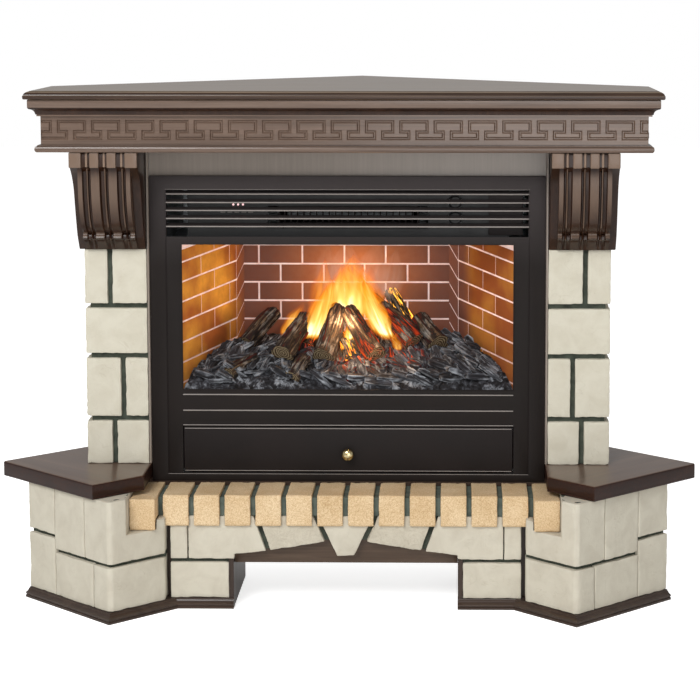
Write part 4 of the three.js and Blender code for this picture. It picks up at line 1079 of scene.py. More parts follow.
# ---------------------------------------------------------------- portal front
@dataclass(frozen=True)
class Corbels:
    """The two scroll corbels, with fluted bellies, reeds in the flutes and blocks above."""

    finishes: Finishes
    left: float = 373.3
    width: float = 123.0
    foot: float = 653.0

    def build(self) -> None:
        """Makes both corbels."""
        for side, sign in SIDES:
            bm = gather([self.make_cheeks(), self.make_belly(), *self.make_blocks()])
            piece(f"scroll_corbel_{side}", to_side(bm, sign), self.finishes.carved, "dark_walnut",
                  replaces=[f"corbel_{side}"], smooth=40)

    def make_cheeks(self) -> bmesh.types.BMesh:
        """The plain body behind the belly, whose curved edges are the cheeks."""
        foot = self.foot
        outline = [(12.0, 837.0), (12.0, foot), (-10.0, foot)]
        outline += bend((-10, foot), (-16, foot + 8), (-30, foot + 26))[1:]
        outline += bend((-30, foot + 26), (-46, foot + 62), (-58, foot + 104))[1:]
        outline += bend((-58, foot + 104), (-66, foot + 134), (-104, 813))[1:]
        outline += [(-104.0, 837.0)]
        bm = prism(outline, Axis.X, self.left, self.left + self.width)
        round_edges(bm, 1.6, 2, 60)
        return bm

    def make_belly(self) -> bmesh.types.BMesh:
        """The fluted front: bands and reeds that run down over the belly into the scroll."""
        foot = self.foot
        run = [(-99.0, 838.0), *bend((-99, 813), (-95, 806), (-94, 792), steps=5)]
        run += bend((-94, 792), (-93, 746), (-74, 713), steps=10)[1:]
        run += bend((-74, 713), (-66, 698), (-46, 687), steps=7)[1:]
        run += bend((-44, 685), (-47, 682), (-47.5, 678), steps=4)
        run += bend((-46, 675.4), (-40, 674.4), (-36, 673.4), steps=4)
        run += bend((-34, 671), (-25, 664), (-15, foot), steps=5)
        tangents = [Vector(after) - Vector(before) for before, after in zip([run[0], *run], [*run[1:], run[-1]])]
        rings = []
        steps = 112
        for at in range(steps + 1):
            across = 14.0 + 95.0 * at / steps
            ring = []
            for (y, z), tangent in zip(run, tangents):
                normal = Vector((-abs(tangent.y), tangent.x)).normalized()
                strength = min(1.0, max(0.0, (z - foot) / 14))
                lift = self.flute(across) * strength
                ring.append(Vector((self.left + across, y + normal.x * lift, z)))
            ring += [Vector((self.left + across, 11.0, foot)), Vector((self.left + across, 11.0, 838.0))]
            rings.append(ring)
        bm = loft(rings)
        # Paler marks painted into the colour stand for the lacquer's highlight: on the bands from about 700 to 806 high
        # and between 678 and 690 at the scroll, and on the reeds above 700.
        painted_highlight = bm.verts.layers.float.new("painted_highlight")
        for at, vert in enumerate(bm.verts):
            across = vert.co.x - self.left
            on_band = min(abs(across - middle) for middle in (30.0, 61.5, 93.5)) > 7.8
            height = vert.co.z
            light = 0.34 * min(1.0, max(0.0, (height - 698) / 55)) * min(1.0, max(0.0, (806 - height) / 18))
            light = max(light, 0.25 * (678 < height < 690))
            on_reed = min(abs(across - middle + 1.6) for middle in (30.0, 61.5, 93.5)) < 1.5
            on_run = at % len(rings[0]) < len(run)
            vert[painted_highlight] = on_run * (light if on_band else 0.4 * on_reed * (height > 700))
        return bm

    def flute(self, across: float) -> float:
        """How far the belly stands out at a place across it, from the bands, flutes and reeds."""
        middle = min((30.0, 61.5, 93.5), key=lambda place: abs(across - place))
        off = abs(across - middle)
        from_reed = abs(across - middle + 1.6)
        if from_reed < 2.0:
            return 6.4 * math.sqrt(max(0.0, 1 - (from_reed / 2.0) ** 2)) - 4.4
        if off < 7.8:
            return 8.4 * (max(0.0, off - 6.2) / 1.6) ** 2 - 4.4
        return 4.0

    def make_blocks(self) -> list[bmesh.types.BMesh]:
        """The top block, the four raised blocks in front of it, and the reeds between them."""
        blocks = []
        for start, end in ((0, 22), (38, 54.5), (69, 85.5), (101, self.width)):
            bm = cube((self.left + start, -110, 811), (self.left + end, -97, 838.7))
            round_edges(bm, 1.5, 3)
            # Each raised block is painted paler all over, a painted highlight.
            painted_highlight = bm.verts.layers.float.new("painted_highlight")
            for vert in bm.verts:
                vert[painted_highlight] = 0.5
            blocks.append(bm)
        for middle in (30.0, 61.5, 93.5):
            bm = cube((self.left + middle - 4.0, -106, 812), (self.left + middle + 0.6, -97, 838.5))
            round_edges(bm, 1.9, 4)
            # Each reed between the blocks is painted paler still, a painted highlight.
            painted_highlight = bm.verts.layers.float.new("painted_highlight")
            for vert in bm.verts:
                vert[painted_highlight] = 0.7
            blocks.append(bm)
        bm = cube((self.left + 0.6, -100.5, 813), (self.left + self.width - 0.6, 10, 838.4))
        round_edges(bm, 0.8, 2)
        return [*blocks, bm]


def wear(bm: bmesh.types.BMesh, seed: float, relief: float = 0.55, chip: float = 1.6,
         step: float = 7.0, size: float = 38.0) -> bmesh.types.BMesh:
    """Gives a stone or brick soft edges, an uneven face and chipped corners.

    Args:
        bm: The solid.
        seed: Picks the pattern.
        relief: The unevenness of its faces.
        chip: The wear of its edges.
        step: The size of the mesh that it is cut into.
        size: The size of the unevenness.

    Returns:
        The same bmesh.
    """
    round_edges(bm, 1.3, 2, 40)
    for axis in Axis:
        slice_up(bm, axis.value, step)
    weather(bm, seed, relief, chip, size)
    return bm


@dataclass(frozen=True)
class Columns:
    """The two columns: cast stones with sunk joints on a board box, and the panel between them."""

    finishes: Finishes
    inner: float = 372.7
    outer: float = 488.0
    front: float = -8.0
    joints: tuple[float, ...] = (334.0, 452.7, 546.6)
    splits: tuple[float | None, ...] = (436.0, 419.0, None, 441.0)

    def build(self) -> None:
        """Makes both columns and dresses the boards behind them."""
        for side, sign in SIDES:
            stones = gather(self.make_stones(sign))
            piece(f"column_stones_{side}", to_side(stones, sign), self.finishes.stone, "cast_stone",
                  replaces=[f"column_stone_{side}"], smooth=50)
            piece(f"column_grout_{side}", to_side(self.make_grout(), sign), self.finishes.grout, "cast_stone")
            dress([f"column_box_{side}"], self.finishes.dark[Grain.UPRIGHT])
            dress([f"portal_trim_{side}"], self.finishes.panel)
        dress(["portal_panel"], self.finishes.panel)

    def make_stones(self, sign: int) -> list[bmesh.types.BMesh]:
        """The stones of one column, from the bottom row upwards."""
        half = 4.5
        back = 12.0
        levels = [248.3 - half, *self.joints, 653.0 + half]
        stones = []
        for row, split in enumerate(self.splits):
            low, high = levels[row] + half, levels[row + 1] - half
            turn = (60.0 if row % 2 else 95.0)
            start = self.inner if split is None else split + half
            corner = [(start, self.front), (self.outer, self.front), (self.outer, turn - half),
                      (self.outer - 20, turn - half), (self.outer - 20, back), (start, back)]
            stones.append(prism(corner, Axis.Z, low, high))
            if split is not None:
                stones.append(cube((self.inner, self.front, low), (split - half, back, high)))
            stones.append(cube((self.outer - 20, turn + half, low), (self.outer, 150, high)))
        return [wear(bm, 11.3 * sign + 2.7 * at, chip=2.2) for at, bm in enumerate(stones)]

    def make_grout(self) -> bmesh.types.BMesh:
        """The pointing, sunk 9 mm behind the faces of the stones."""
        sunk = 9.0
        outline = [(self.inner + 0.3, self.front + sunk), (self.outer - sunk, self.front + sunk),
                   (self.outer - sunk, 149), (self.outer - 20.2, 149), (self.outer - 20.2, 12), (self.inner + 0.3, 12)]
        return prism(outline, Axis.Z, 249, 652.6)


# ---------------------------------------------------------------- shelves and plinths
def facet(difference: float, total: float) -> tuple[float, float]:
    """The point whose x - y and x + y are given."""
    return (total + difference) / 2, (total - difference) / 2


@dataclass(frozen=True)
class Plinths:
    """The two plinths turned to the walls, with their stones, base mouldings and shelves."""

    finishes: Finishes
    outer: float = 627.0
    inner: float = 209.0
    behind: float = -85.0

    def build(self) -> None:
        """Makes both plinths."""
        for side, sign in SIDES:
            self.make_shelf(side, sign)
            stones = gather(self.make_stones(sign))
            piece(f"plinth_stones_{side}", to_side(stones, sign), self.finishes.grey_stone, "cast_stone",
                  replaces=[f"plinth_stone_{side}"], smooth=50)
            piece(f"plinth_grout_{side}", to_side(self.make_grout(), sign), self.finishes.grout, "cast_stone")
            self.make_base(side, sign)
            dress([f"plinth_box_{side}"], self.finishes.dark[Grain.UPRIGHT])

    def make_shelf(self, side: str, sign: int) -> None:
        """Makes the shelf that carries a column, rounded on its three free sides."""
        inside, edge = 368.3, 259.0
        outline = [(inside, edge - inside), facet(640, edge), facet(640, WALLS_MEET - GAP),
                   (inside, to_wall(inside))]
        bm = prism(outline, Axis.Z, 220, 248)
        wall = WALLS_MEET - GAP - 1
        free = [edge for edge in bm.edges if abs(edge.verts[0].co.z - edge.verts[1].co.z) < 1
                and not all(vert.co.x + vert.co.y > wall for vert in edge.verts)]
        top = [edge for edge in free if edge.verts[0].co.z > 240]
        bevel(bm, top, 3.4, 4)
        low = [edge for edge in bm.edges if all(vert.co.z < 221 for vert in edge.verts)
               and not all(vert.co.x + vert.co.y > wall for vert in edge.verts)]
        bevel(bm, low, 2.4, 3)
        for point, away in (((0, 0, 240.6), (0, 0, 1)), ((0, 0, 238.2), (0, 0, 1)), ((0, 0, 226.4), (0, 0, 1)),
                            ((0, 0, 224.6), (0, 0, 1))):
            bmesh.ops.bisect_plane(bm, geom=[*bm.verts, *bm.edges, *bm.faces], plane_co=point, plane_no=away)
        bm.normal_update()
        for low_edge, high_edge in ((238.0, 240.8), (224.4, 226.6)):
            for vert in {v for v in bm.verts if low_edge < v.co.z < high_edge}:
                if vert.co.x + vert.co.y < wall - 2:
                    vert.co -= Vector((vert.normal.x, vert.normal.y, 0)) * 1.5 * (abs(vert.co.z - 239.4) < 0.9 or
                                                                                vert.co.z < 226)
        grain = Grain.LEFT_WALL if sign > 0 else Grain.RIGHT_WALL
        # Its faces that look neither up nor down take the near-black rim walnut, painted shade.
        piece(f"shelf_board_{side}", to_side(bm, sign), self.finishes.veneer[grain], "walnut",
              replaces=[f"side_shelf_{side}"], edge=self.finishes.shelf_rim)

    def make_stones(self, sign: int) -> list[bmesh.types.BMesh]:
        """The stones of one plinth: a long corner stone, a middle and an end stone in each row."""
        rows = (((18.3, 98.0), (278.0, 281.0), 124.0), ((105.0, 219.7), (315.0, 318.0), 131.0))
        stones = []
        for row, ((low, high), (split, after), end_joint) in enumerate(rows):
            corner = self.make_corner(low, high, split)
            middle = prism([facet(self.outer, after), facet(self.outer, 447.5), facet(self.outer - 25.5, 447.5),
                            (after - self.behind, self.behind)], Axis.Z, low, high)
            end_low, end_high = (low, end_joint) if row == 0 else (end_joint, high)
            end = prism([facet(self.outer, 449.5), facet(self.outer, 565), facet(self.outer - 25.5, 565),
                         facet(self.outer - 25.5, 449.5)], Axis.Z, end_low, end_high)
            stones += [corner, middle, end]
        return [wear(bm, 5.1 * sign + 3.3 * at, 0.8, 1.8, 8.0, 60.0) for at, bm in enumerate(stones)]

    def make_corner(self, low: float, high: float, split: float) -> bmesh.types.BMesh:
        """The stone that turns the plinth's front corner, cut away under the end of the bricks."""
        outline = [(330.0, low), (700.0, low), (700.0, high)]
        notch = [(391.4, high), (391.4, 153.6), (343.2, 153.6), (343.2, 171.7), (330.0, 171.7)]
        outline += notch if high > 154 else [(330.0, high)]
        bm = prism(outline, Axis.Y, -330, self.behind)
        nose = 9.0
        cuts = (((self.inner, 0, 0), (-1, -1, 0)), ((self.outer, 0, 0), (1, -1, 0)), ((split, 0, 0), (1, 1, 0)),
                ((*facet(self.outer - nose / 2, self.inner + nose / 2), 0), (0, -1, 0)))
        for point, away in cuts:
            trim(bm, point, away)
        return bm

    def make_grout(self) -> bmesh.types.BMesh:
        """The pointing of one plinth, sunk behind the faces of its stones."""
        sunk = 9 * math.sqrt(2)
        face, edge = self.outer - sunk, self.inner + sunk
        outline = [(331, 18.6), (700, 18.6), (700, 219.4), (393, 219.4), (393, 150), (331, 150)]
        bm = prism(outline, Axis.Y, -330, self.behind)
        for point, away in (((edge, 0, 0), (-1, -1, 0)), ((face, 0, 0), (1, -1, 0)), ((430, 0, 0), (1, 1, 0))):
            trim(bm, point, away)
        side = prism([facet(face, 429), facet(face, 564), facet(self.outer - 25, 564), facet(self.outer - 25, 429)],
                     Axis.Z, 18.6, 219.4)
        return gather([bm, side])

    def make_base(self, side: str, sign: int) -> None:
        """Makes the stepped base moulding under a plinth."""
        path = [(205.6, -104), (313, -104), facet(self.outer, self.inner), facet(self.outer, 565)]
        profile = [(-18, 0), (11, 0), (11, 3.8), (9.0, 4.8), (9.0, 5.8), (10.8, 6.8), (10.6, 9.2), (8.4, 10.2)]
        profile += bend((7.8, 10.6), (4.8, 12.2), (3.6, 15.4), steps=5)
        profile += [(2.2, 15.8), (1.4, 16.6), (1, 18), (-18, 18)]
        piece(f"base_run_{side}", to_side(sweep(path, profile), sign), self.finishes.dark[Grain.ACROSS],
              "dark_walnut", replaces=[f"base_moulding_{side}"], smooth=28)


# ---------------------------------------------------------------- arch and hearth
@dataclass(frozen=True)
class Hearth:
    """The flat stone arch, the apron behind it, and the row of bricks that lies on it."""

    finishes: Finishes
    front: float = -104.0
    behind: float = -86.0
    top: float = 171.7

    def build(self) -> None:
        """Makes the arch and the bricks."""
        self.make_arch()
        self.make_bricks()
        apron = cube((-205.7, -85.4, 80), (205.7, -70, 171.6))
        round_edges(apron, 0.5, 2)
        piece("apron_face", apron, self.finishes.apron, "dark_walnut", replaces=["apron_board"])
        dress(["hearth_board"], self.finishes.dark[Grain.ACROSS])

    def make_arch(self) -> None:
        """Makes the keystone, the haunch and end stones, the foot stones, and their pointing."""
        top = self.top
        keystone = [(-15.5, 97.6), (15.5, 97.6), (49.8, top), (-49.8, top)]
        haunch = [(38.1, 123.5), (138.4, 107.8), (160.0, top), (59.8, top)]
        long_stone = [(147.0, 106.5), (176, 102.6), (205, 99.4), (205, 91.3), (289.2, 91.3), (289.2, top),
                      (169.0, top)]
        end_stone = [(291.0, 91.3), (322, 91.3), (322, top), (291.0, top)]
        foot = [(215.0, 18.3), (322, 18.3), (322, 84.7), (215.0, 84.7)]
        half = [(foot, self.finishes.grey_stone), (end_stone, self.finishes.grey_stone),
                (long_stone, self.finishes.grey_stone), (haunch, self.finishes.veined_stone)]
        plain, veined = [wear(prism(keystone, Axis.Y, self.front, self.behind), 1.7, 0.7)], []
        for at, (outline, finish) in enumerate(half):
            for _, sign in SIDES:
                bm = to_side(prism(outline, Axis.Y, self.front, self.behind), sign)
                rough = finish is self.finishes.veined_stone
                bm = wear(bm, 7.9 * at + sign, 1.1 if rough else 0.7, 1.8, 6.0, 22.0 if rough else 50.0)
                (veined if rough else plain).append(bm)
        piece("arch_stones", gather(plain), self.finishes.grey_stone, "cast_stone", replaces=["arch_facing"],
              smooth=50)
        piece("arch_haunches", gather(veined), self.finishes.veined_stone, "cast_stone", smooth=50)
        pointing = []
        for _, sign in SIDES:
            body = [(0, 126), (38, 126), (144, 109), (206, 101), (206, 84), (216, 84), (216, 19), (321, 19),
                    (321, top - 0.5), (0, top - 0.5)]
            pointing.append(to_side(prism(body, Axis.Y, self.front + 9, self.behind - 0.2), sign))
        piece("arch_pointing", gather(pointing), self.finishes.grout, "cast_stone")

    def make_bricks(self) -> None:
        """Lays fourteen bricks, each a little different, with mortar between them."""
        pitch, width, count = 56.5, 47.0, 14
        outline = [(-2.0, 172.0), (-104.3, 172.0), (-104.3, 154.0)]
        outline += bend((-108, 154), (-112, 154), (-112, 159), steps=3)
        outline += bend((-112, 209), (-112, 212), (-109, 212), steps=3) + [(-2.0, 212.0)]
        bricks = []
        for at in range(count):
            middle = (at - (count - 1) / 2) * pitch
            bm = prism(outline, Axis.X, middle - width / 2, middle + width / 2)
            if at in (0, count - 1):
                # The end bricks reach out to the slanting face of the plinths.
                for vert in bm.verts:
                    vert.co.y -= 36.0 * (vert.co.y < -50)
            bricks.append(wear(bm, 4.4 + 1.9 * at, 0.5, 1.6, 5.0, 16.0))
        piece("hearth_brick_row", gather(bricks), self.finishes.brick, "sand_brick", replaces=["hearth_bricks"],
              smooth=50)
        end = (count - 1) / 2 * pitch + width / 2 - 2
        mortar = cube((-end, -102, 172.2), (end, -2.5, 206))
        slice_up(mortar, Axis.X.value, 6)
        slice_up(mortar, Axis.Y.value, 12)
        weather(mortar, 2.2, 0.5, 0.4, 20)
        piece("hearth_mortar_bed", mortar, self.finishes.hearth_mortar, "sand_brick")


# ---------------------------------------------------------------- insert
def plate(outer: tuple[float, float, float, float], holes: Sequence[tuple[float, float, float, float]],
          front: float, back: float) -> bmesh.types.BMesh:
    """A flat sheet with rectangular holes, facing the room.

    Args:
        outer: Its outline, as least x, greatest x, least z and greatest z.
        holes: The outlines of its holes, likewise.
        front: Its front face's y.
        back: Its back face's y.

    Returns:
        The sheet's bmesh.
    """
    bm = bmesh.new()
    edges = []
    for x0, x1, z0, z1 in (outer, *holes):
        corners = [bm.verts.new((x, front, z)) for x, z in ((x0, z0), (x1, z0), (x1, z1), (x0, z1))]
        edges += [bm.edges.new(pair) for pair in zip(corners, [*corners[1:], corners[0]])]
    bmesh.ops.triangle_fill(bm, use_beauty=True, use_dissolve=False, edges=edges, normal=(0, -1, 0))
    grown = bmesh.ops.extrude_face_region(bm, geom=bm.faces[:])["geom"]
    moved = [item for item in grown if isinstance(item, bmesh.types.BMVert)]
    bmesh.ops.translate(bm, vec=(0, back - front, 0), verts=moved)
    bmesh.ops.recalc_face_normals(bm, faces=bm.faces)
    return bm


@dataclass(frozen=True)
class InsertFront:
    """The black steel front of the insert: trim frame, panel, folded lips and slatted louvre."""

    finishes: Finishes

    def build(self) -> None:
        """Makes the insert's front and dresses the case behind it."""
        finishes = self.finishes
        face = plate((-367.5, 367.5, 214, 788), [(-338, 338, 228, 762.3)], 0, 2)
        skirt = plate((-367.5, 367.5, 214, 788), [(-364.5, 364.5, 217, 785)], 1.2, 12)
        for sheet in (face, skirt):
            round_edges(sheet, 0.5, 2, 60)
        piece("frame_of_insert", gather([face, skirt]), finishes.steel, "black_steel", replaces=["trim_frame"])

        holes = [(-308, 308, 388, 660), (-337, 337, 675, 762), (-309.5, 309.5, 229.5, 318.5)]
        panel = plate((-345, 345, 220, 769.5), holes, 2.3, 4.3)
        round_edges(panel, 0.45, 2, 60)
        piece("inner_panel", panel, finishes.steel, "black_steel", replaces=["front_panel"])
        self.make_lips()
        self.make_louvre()
        dress(["insert_case", "chamber_roof", "chamber_floor", "drawer_runner"], finishes.galvanised)
        dress(["fan_housing"], finishes.steel)
        dress(["drawer_tray"], finishes.galvanised)
        dress(["cable_gland", "fan_motor", "mist_unit"], finishes.plastic)
        dress(["water_tank"], finishes.clear)
        dress(["fan_rotor"], finishes.rotor)

    def make_lips(self) -> None:
        """Makes the folded edges under the window and round the openings: the pale ones are a painted highlight, the
        dark ones keep the steel's colour.
        """
        def strip(x0: float, x1: float, y0: float, y1: float, z0: float, z1: float) -> bmesh.types.BMesh:
            bm = cube((x0, y0, z0), (x1, y1, z1))
            round_edges(bm, 0.45 * min(x1 - x0, y1 - y0, z1 - z0), 2)
            return bm

        # Pale grey strips, a painted highlight.
        bright = [strip(-309, 309, 0.1, 3.2, z - 1.1, z + 1.1) for z in (378, 348)]
        bright += [strip(-309.2, 309.2, 0.3, 4, 319.4, 321), strip(-338, 338, -0.1, 2.2, 226.6, 227.9)]
        bright += [strip(-338, 338, -0.1, 2.2, 762.6, 763.8)]
        piece("lit_folds", gather(bright), self.finishes.highlight_and_mark_grey, "black_steel")
        dull = [strip(x - 1, x + 1, 1.2, 4, 228, 762) for x in (-337.2, 337.2)]
        dull += [strip(-311, 311, 1.4, 5, 660.2, 662.2), strip(-311, 311, 1.4, 5, 385.9, 387.8)]
        dull += [strip(x - 1, x + 1, 1.4, 5, 386, 662) for x in (-309.2, 309.2)]
        piece("window_rim", gather(dull), self.finishes.drawer_steel, "black_steel")

    def make_louvre(self) -> None:
        """Makes the five slats, rounded in front, between two cheeks."""
        slats, noses = [], []
        for z in (754.6, 738.8, 723.9, 708.9, 694.1):
            slats.append(prism([(2.2, z + 1.2), (2.2, z - 1.2), (15, z + 2.9), (15, z + 5.2)], Axis.X, -336.6, 336.6))
            # Each slat's nose is a pale grey strip, a painted highlight.
            nose = cube((-336.6, 0.4, z - 1.3), (336.6, 3.0, z + 1.2))
            round_edges(nose, 0.8, 3)
            noses.append(nose)
        piece("louvre_slats", gather(slats), self.finishes.steel, "black_steel", replaces=["louvre_grille"])
        piece("louvre_noses", gather(noses), self.finishes.highlight_and_mark_grey, "black_steel")
        cheeks = [cube((sign * 336.7 - 1.2, 6.5, 676), (sign * 336.7 + 1.2 * 0.1, 16, 761)) for _, sign in SIDES]
        for cheek in cheeks:
            round_edges(cheek, 0.3, 1)
        piece("louvre_cheeks", gather(cheeks), self.finishes.steel, "black_steel")


@dataclass(frozen=True)
class Controls:
    """The dark panel behind the louvre: dials, indicator lamps and the heater's ribs."""

    finishes: Finishes

    def build(self) -> None:
        """Makes the dials and the lamps and dresses the panel."""
        dress(["control_panel"], self.finishes.plastic)
        dress(["heating_element"], self.finishes.steel)
        cover = cube((262, 26.4, 676), (326, 29.7, 758))
        round_edges(cover, 1.2, 3)
        piece("terminal_cover", cover, self.finishes.drawer_steel, "black_steel")
        vents = []
        for at in range(7):
            low = 696 + 6.4 * at
            vents.append(prism([(270, low), (271, low), (279, low + 9), (278, low + 9)], Axis.X, -256, -54))
        piece("vent_blades", gather(vents), self.finishes.steel, "galvanised")
        for name, height in (("upper", 738.0), ("lower", 708.0)):
            self.make_dial(name, height)
        lamps = []
        for column in range(3):
            x = -214.0 + 9.0 * column
            for height, radius in ((732.6, 1.9), (726.6, 1.3)):
                lamps.append(lathe([(0, 26.4), (0.6 * radius, 26.8), (radius, 28), (radius, 29.8), (0, 29.8)],
                                   Vector((x, 0, height)), 14))
        bm = gather(lamps)
        heat = bm.verts.layers.float.new("warmth")
        for vert in bm.verts:
            vert[heat] = 0.9 if vert.co.z > 728 else 0.35
        piece("indicator_lamps", bm, self.finishes.lamp, "black_plastic", smooth=60)
        marks = []
        for at in range(5):
            mark = cube((-238 + 13 * at, 29.2, 717.4), (-229 + 13 * at, 29.8, 719.0))
            round_edges(mark, 0.2, 1)
            marks.append(mark)
        piece("control_marks", gather(marks), self.finishes.highlight_and_mark_grey, "black_plastic")

    def make_dial(self, name: str, height: float) -> None:
        """Makes one dial with a ribbed rim and a pointer."""
        rim = [(0, 21), (9.6, 21), (10.6, 21.6), (11, 22.6), (11, 28.9), (10.2, 29.5), (3, 29.5), (3, 41), (0, 41)]
        bm = lathe(rim, Vector((200, 0, height)), 48)
        for vert in bm.verts:
            off = Vector((vert.co.x - 200, 0, vert.co.z - height))
            if off.length > 10.3:
                turn = math.atan2(off.z, off.x)
                vert.co -= off.normalized() * (0.5 if round(turn / math.tau * 48) % 2 else 0.0)
        pointer = cube((199.2, 20, height + 1.5), (200.8, 21.6, height + 9.4))
        round_edges(pointer, 0.35, 2)
        piece(f"dial_knob_{name}", gather([bm, pointer]), self.finishes.plastic, "black_plastic",
              body=f"dial_{name}", replaces=[f"dial_{name}"])
        ring = lathe([(11.5, 29.3), (12.8, 28.3), (14.1, 29.3), (14.1, 29.9), (11.5, 29.9), (11.5, 29.3)],
                     Vector((200, 0, height)), 40)
        piece(f"dial_ring_{name}", ring, self.finishes.rotor, "black_plastic", smooth=60)


# ---------------------------------------------------------------- firebox
BACK_COURSES = (631.3, 593.3, 557.0, 520.4, 483.8, 447.2, 410.6)
FLANK_COURSES = (639.0, 602.0, 564.5, 526.5, 488.0, 450.0, 412.0)
BACK_JOINTS = ((-188.0, -102.0, -18.8, 62.7, 147.5), (-145.1, -59.5, 20.7, 105.7))
FLANK_ENDS = {"left": (Vector((230, 236, 0)), Vector((217, 258.4, 0))),
              "right": (Vector((206, 245, 0)), Vector((187, 258.4, 0)))}


@dataclass(frozen=True)
class Firebox:
    """The brick print of the firebox: raised bricks on a pale mortar ground."""

    finishes: Finishes
    floor: float = 346.3
    roof: float = 663.7

    def build(self) -> None:
        """Makes the back wall and the two side walls."""
        courses = [self.floor, *reversed(BACK_COURSES), self.roof]
        bricks = []
        for row, (low, high) in enumerate(zip(courses, courses[1:])):
            joints = [-222.0, *BACK_JOINTS[(len(courses) + 1 - row) % 2], 192.0]
            for start, end in zip(joints, joints[1:]):
                bricks.append(self.make_brick(start, end, low, high))
        ground = cube((-224, 259.6, self.floor), (224, 267, self.roof))
        piece("back_bricks", gather(bricks), self.finishes.fire_brick, "fire_brick", replaces=["brick_panel_back"])
        piece("back_mortar", ground, self.finishes.fire_mortar, "fire_brick")
        for side, sign in SIDES:
            self.make_flank(side, sign)

    def make_brick(self, start: float, end: float, low: float, high: float) -> bmesh.types.BMesh:
        """One brick of the print, a little proud of its mortar, facing -Y."""
        bm = cube((start + 1.7, 258.4, low + 1.7), (end - 1.7, 262, high - 1.7))
        round_edges(bm, 0.9, 2)
        return bm

    def make_flank(self, side: str, sign: int) -> None:
        """Makes one side wall, which leans in from the window, and the narrow facet behind it."""
        corner, back = FLANK_ENDS[side]
        front = Vector((310, 6, 0))
        courses = [self.floor, *reversed(FLANK_COURSES), self.roof]
        length = (corner - front).length
        bricks, facets = [], []
        for row, (low, high) in enumerate(zip(courses, courses[1:])):
            joints = [0.0, 85.6, 212.5] if (len(courses) - row) % 2 else [0.0, 143.7]
            for near, far in zip(joints, [*joints[1:], length + 0.5]):
                bm = cube((near + 1.7, -0.2, low + 1.7), (far - 1.7, 3, high - 1.7))
                round_edges(bm, 0.9, 2)
                bricks.append(bm)
        wide = (back - corner).length
        for low, high in zip(courses, [*courses[1:], self.roof + 36]):
            bm = prism([(1, low + 2), (wide - 1, low + 31), (wide - 1, high + 27), (1, high - 2)], Axis.Y, -0.2, 3)
            facets.append(bm)
        wall, narrow = gather(bricks), gather(facets)
        for vert in wall.verts:
            vert.co.z -= 0.054 * (length - vert.co.x)
        for bm in (wall, narrow):
            for vert in bm.verts:
                vert.co.z = min(self.roof, max(self.floor, vert.co.z))
        bmesh.ops.dissolve_degenerate(narrow, dist=0.01, edges=narrow.edges)
        grounds = (cube((0, 1.1, self.floor), (length, 9, self.roof)), cube((0, 1.1, self.floor), (wide, 9, self.roof)))
        for bm, start, end in ((wall, front, corner), (grounds[0], front, corner), (narrow, corner, back),
                               (grounds[1], corner, back)):
            self.stand(bm, start, end)
        piece(f"flank_bricks_{side}", to_side(gather([wall, narrow]), sign), self.finishes.fire_brick, "fire_brick",
              replaces=[f"brick_panel_{side}"])
        piece(f"flank_mortar_{side}", to_side(gather(list(grounds)), sign), self.finishes.fire_mortar, "fire_brick")

    def stand(self, bm: bmesh.types.BMesh, start: Vector, end: Vector) -> None:
        """Turns a wall that was drawn along X so that it runs from one point to another."""
        run = (end - start).normalized()
        basis = Matrix.Identity(4)
        for at, column in enumerate((run, Vector((run.y, -run.x, 0)), Vector((0, 0, 1)), start)):
            basis.col[at][:3] = column
        bm.transform(basis)
        bmesh.ops.recalc_face_normals(bm, faces=bm.faces)


def bed_top(x: float, y: float) -> float:
    """The height of the ember bed."""
    share = (y - 8) / 242
    rise = 391 + 62 * (1 - math.exp((8 - y) / 75))
    lumps = 5 * math.sin(x / 13 + 2.2 * math.sin(y / 17)) * math.cos(y / 12 + 1.7 * math.sin(x / 23))
    return rise + lumps * math.sin(math.pi * (0.15 + 0.7 * share))


def bed_half(y: float) -> float:
    """Half the width of the firebox at a depth."""
    return 310 - 88 * (y - 6) / 252


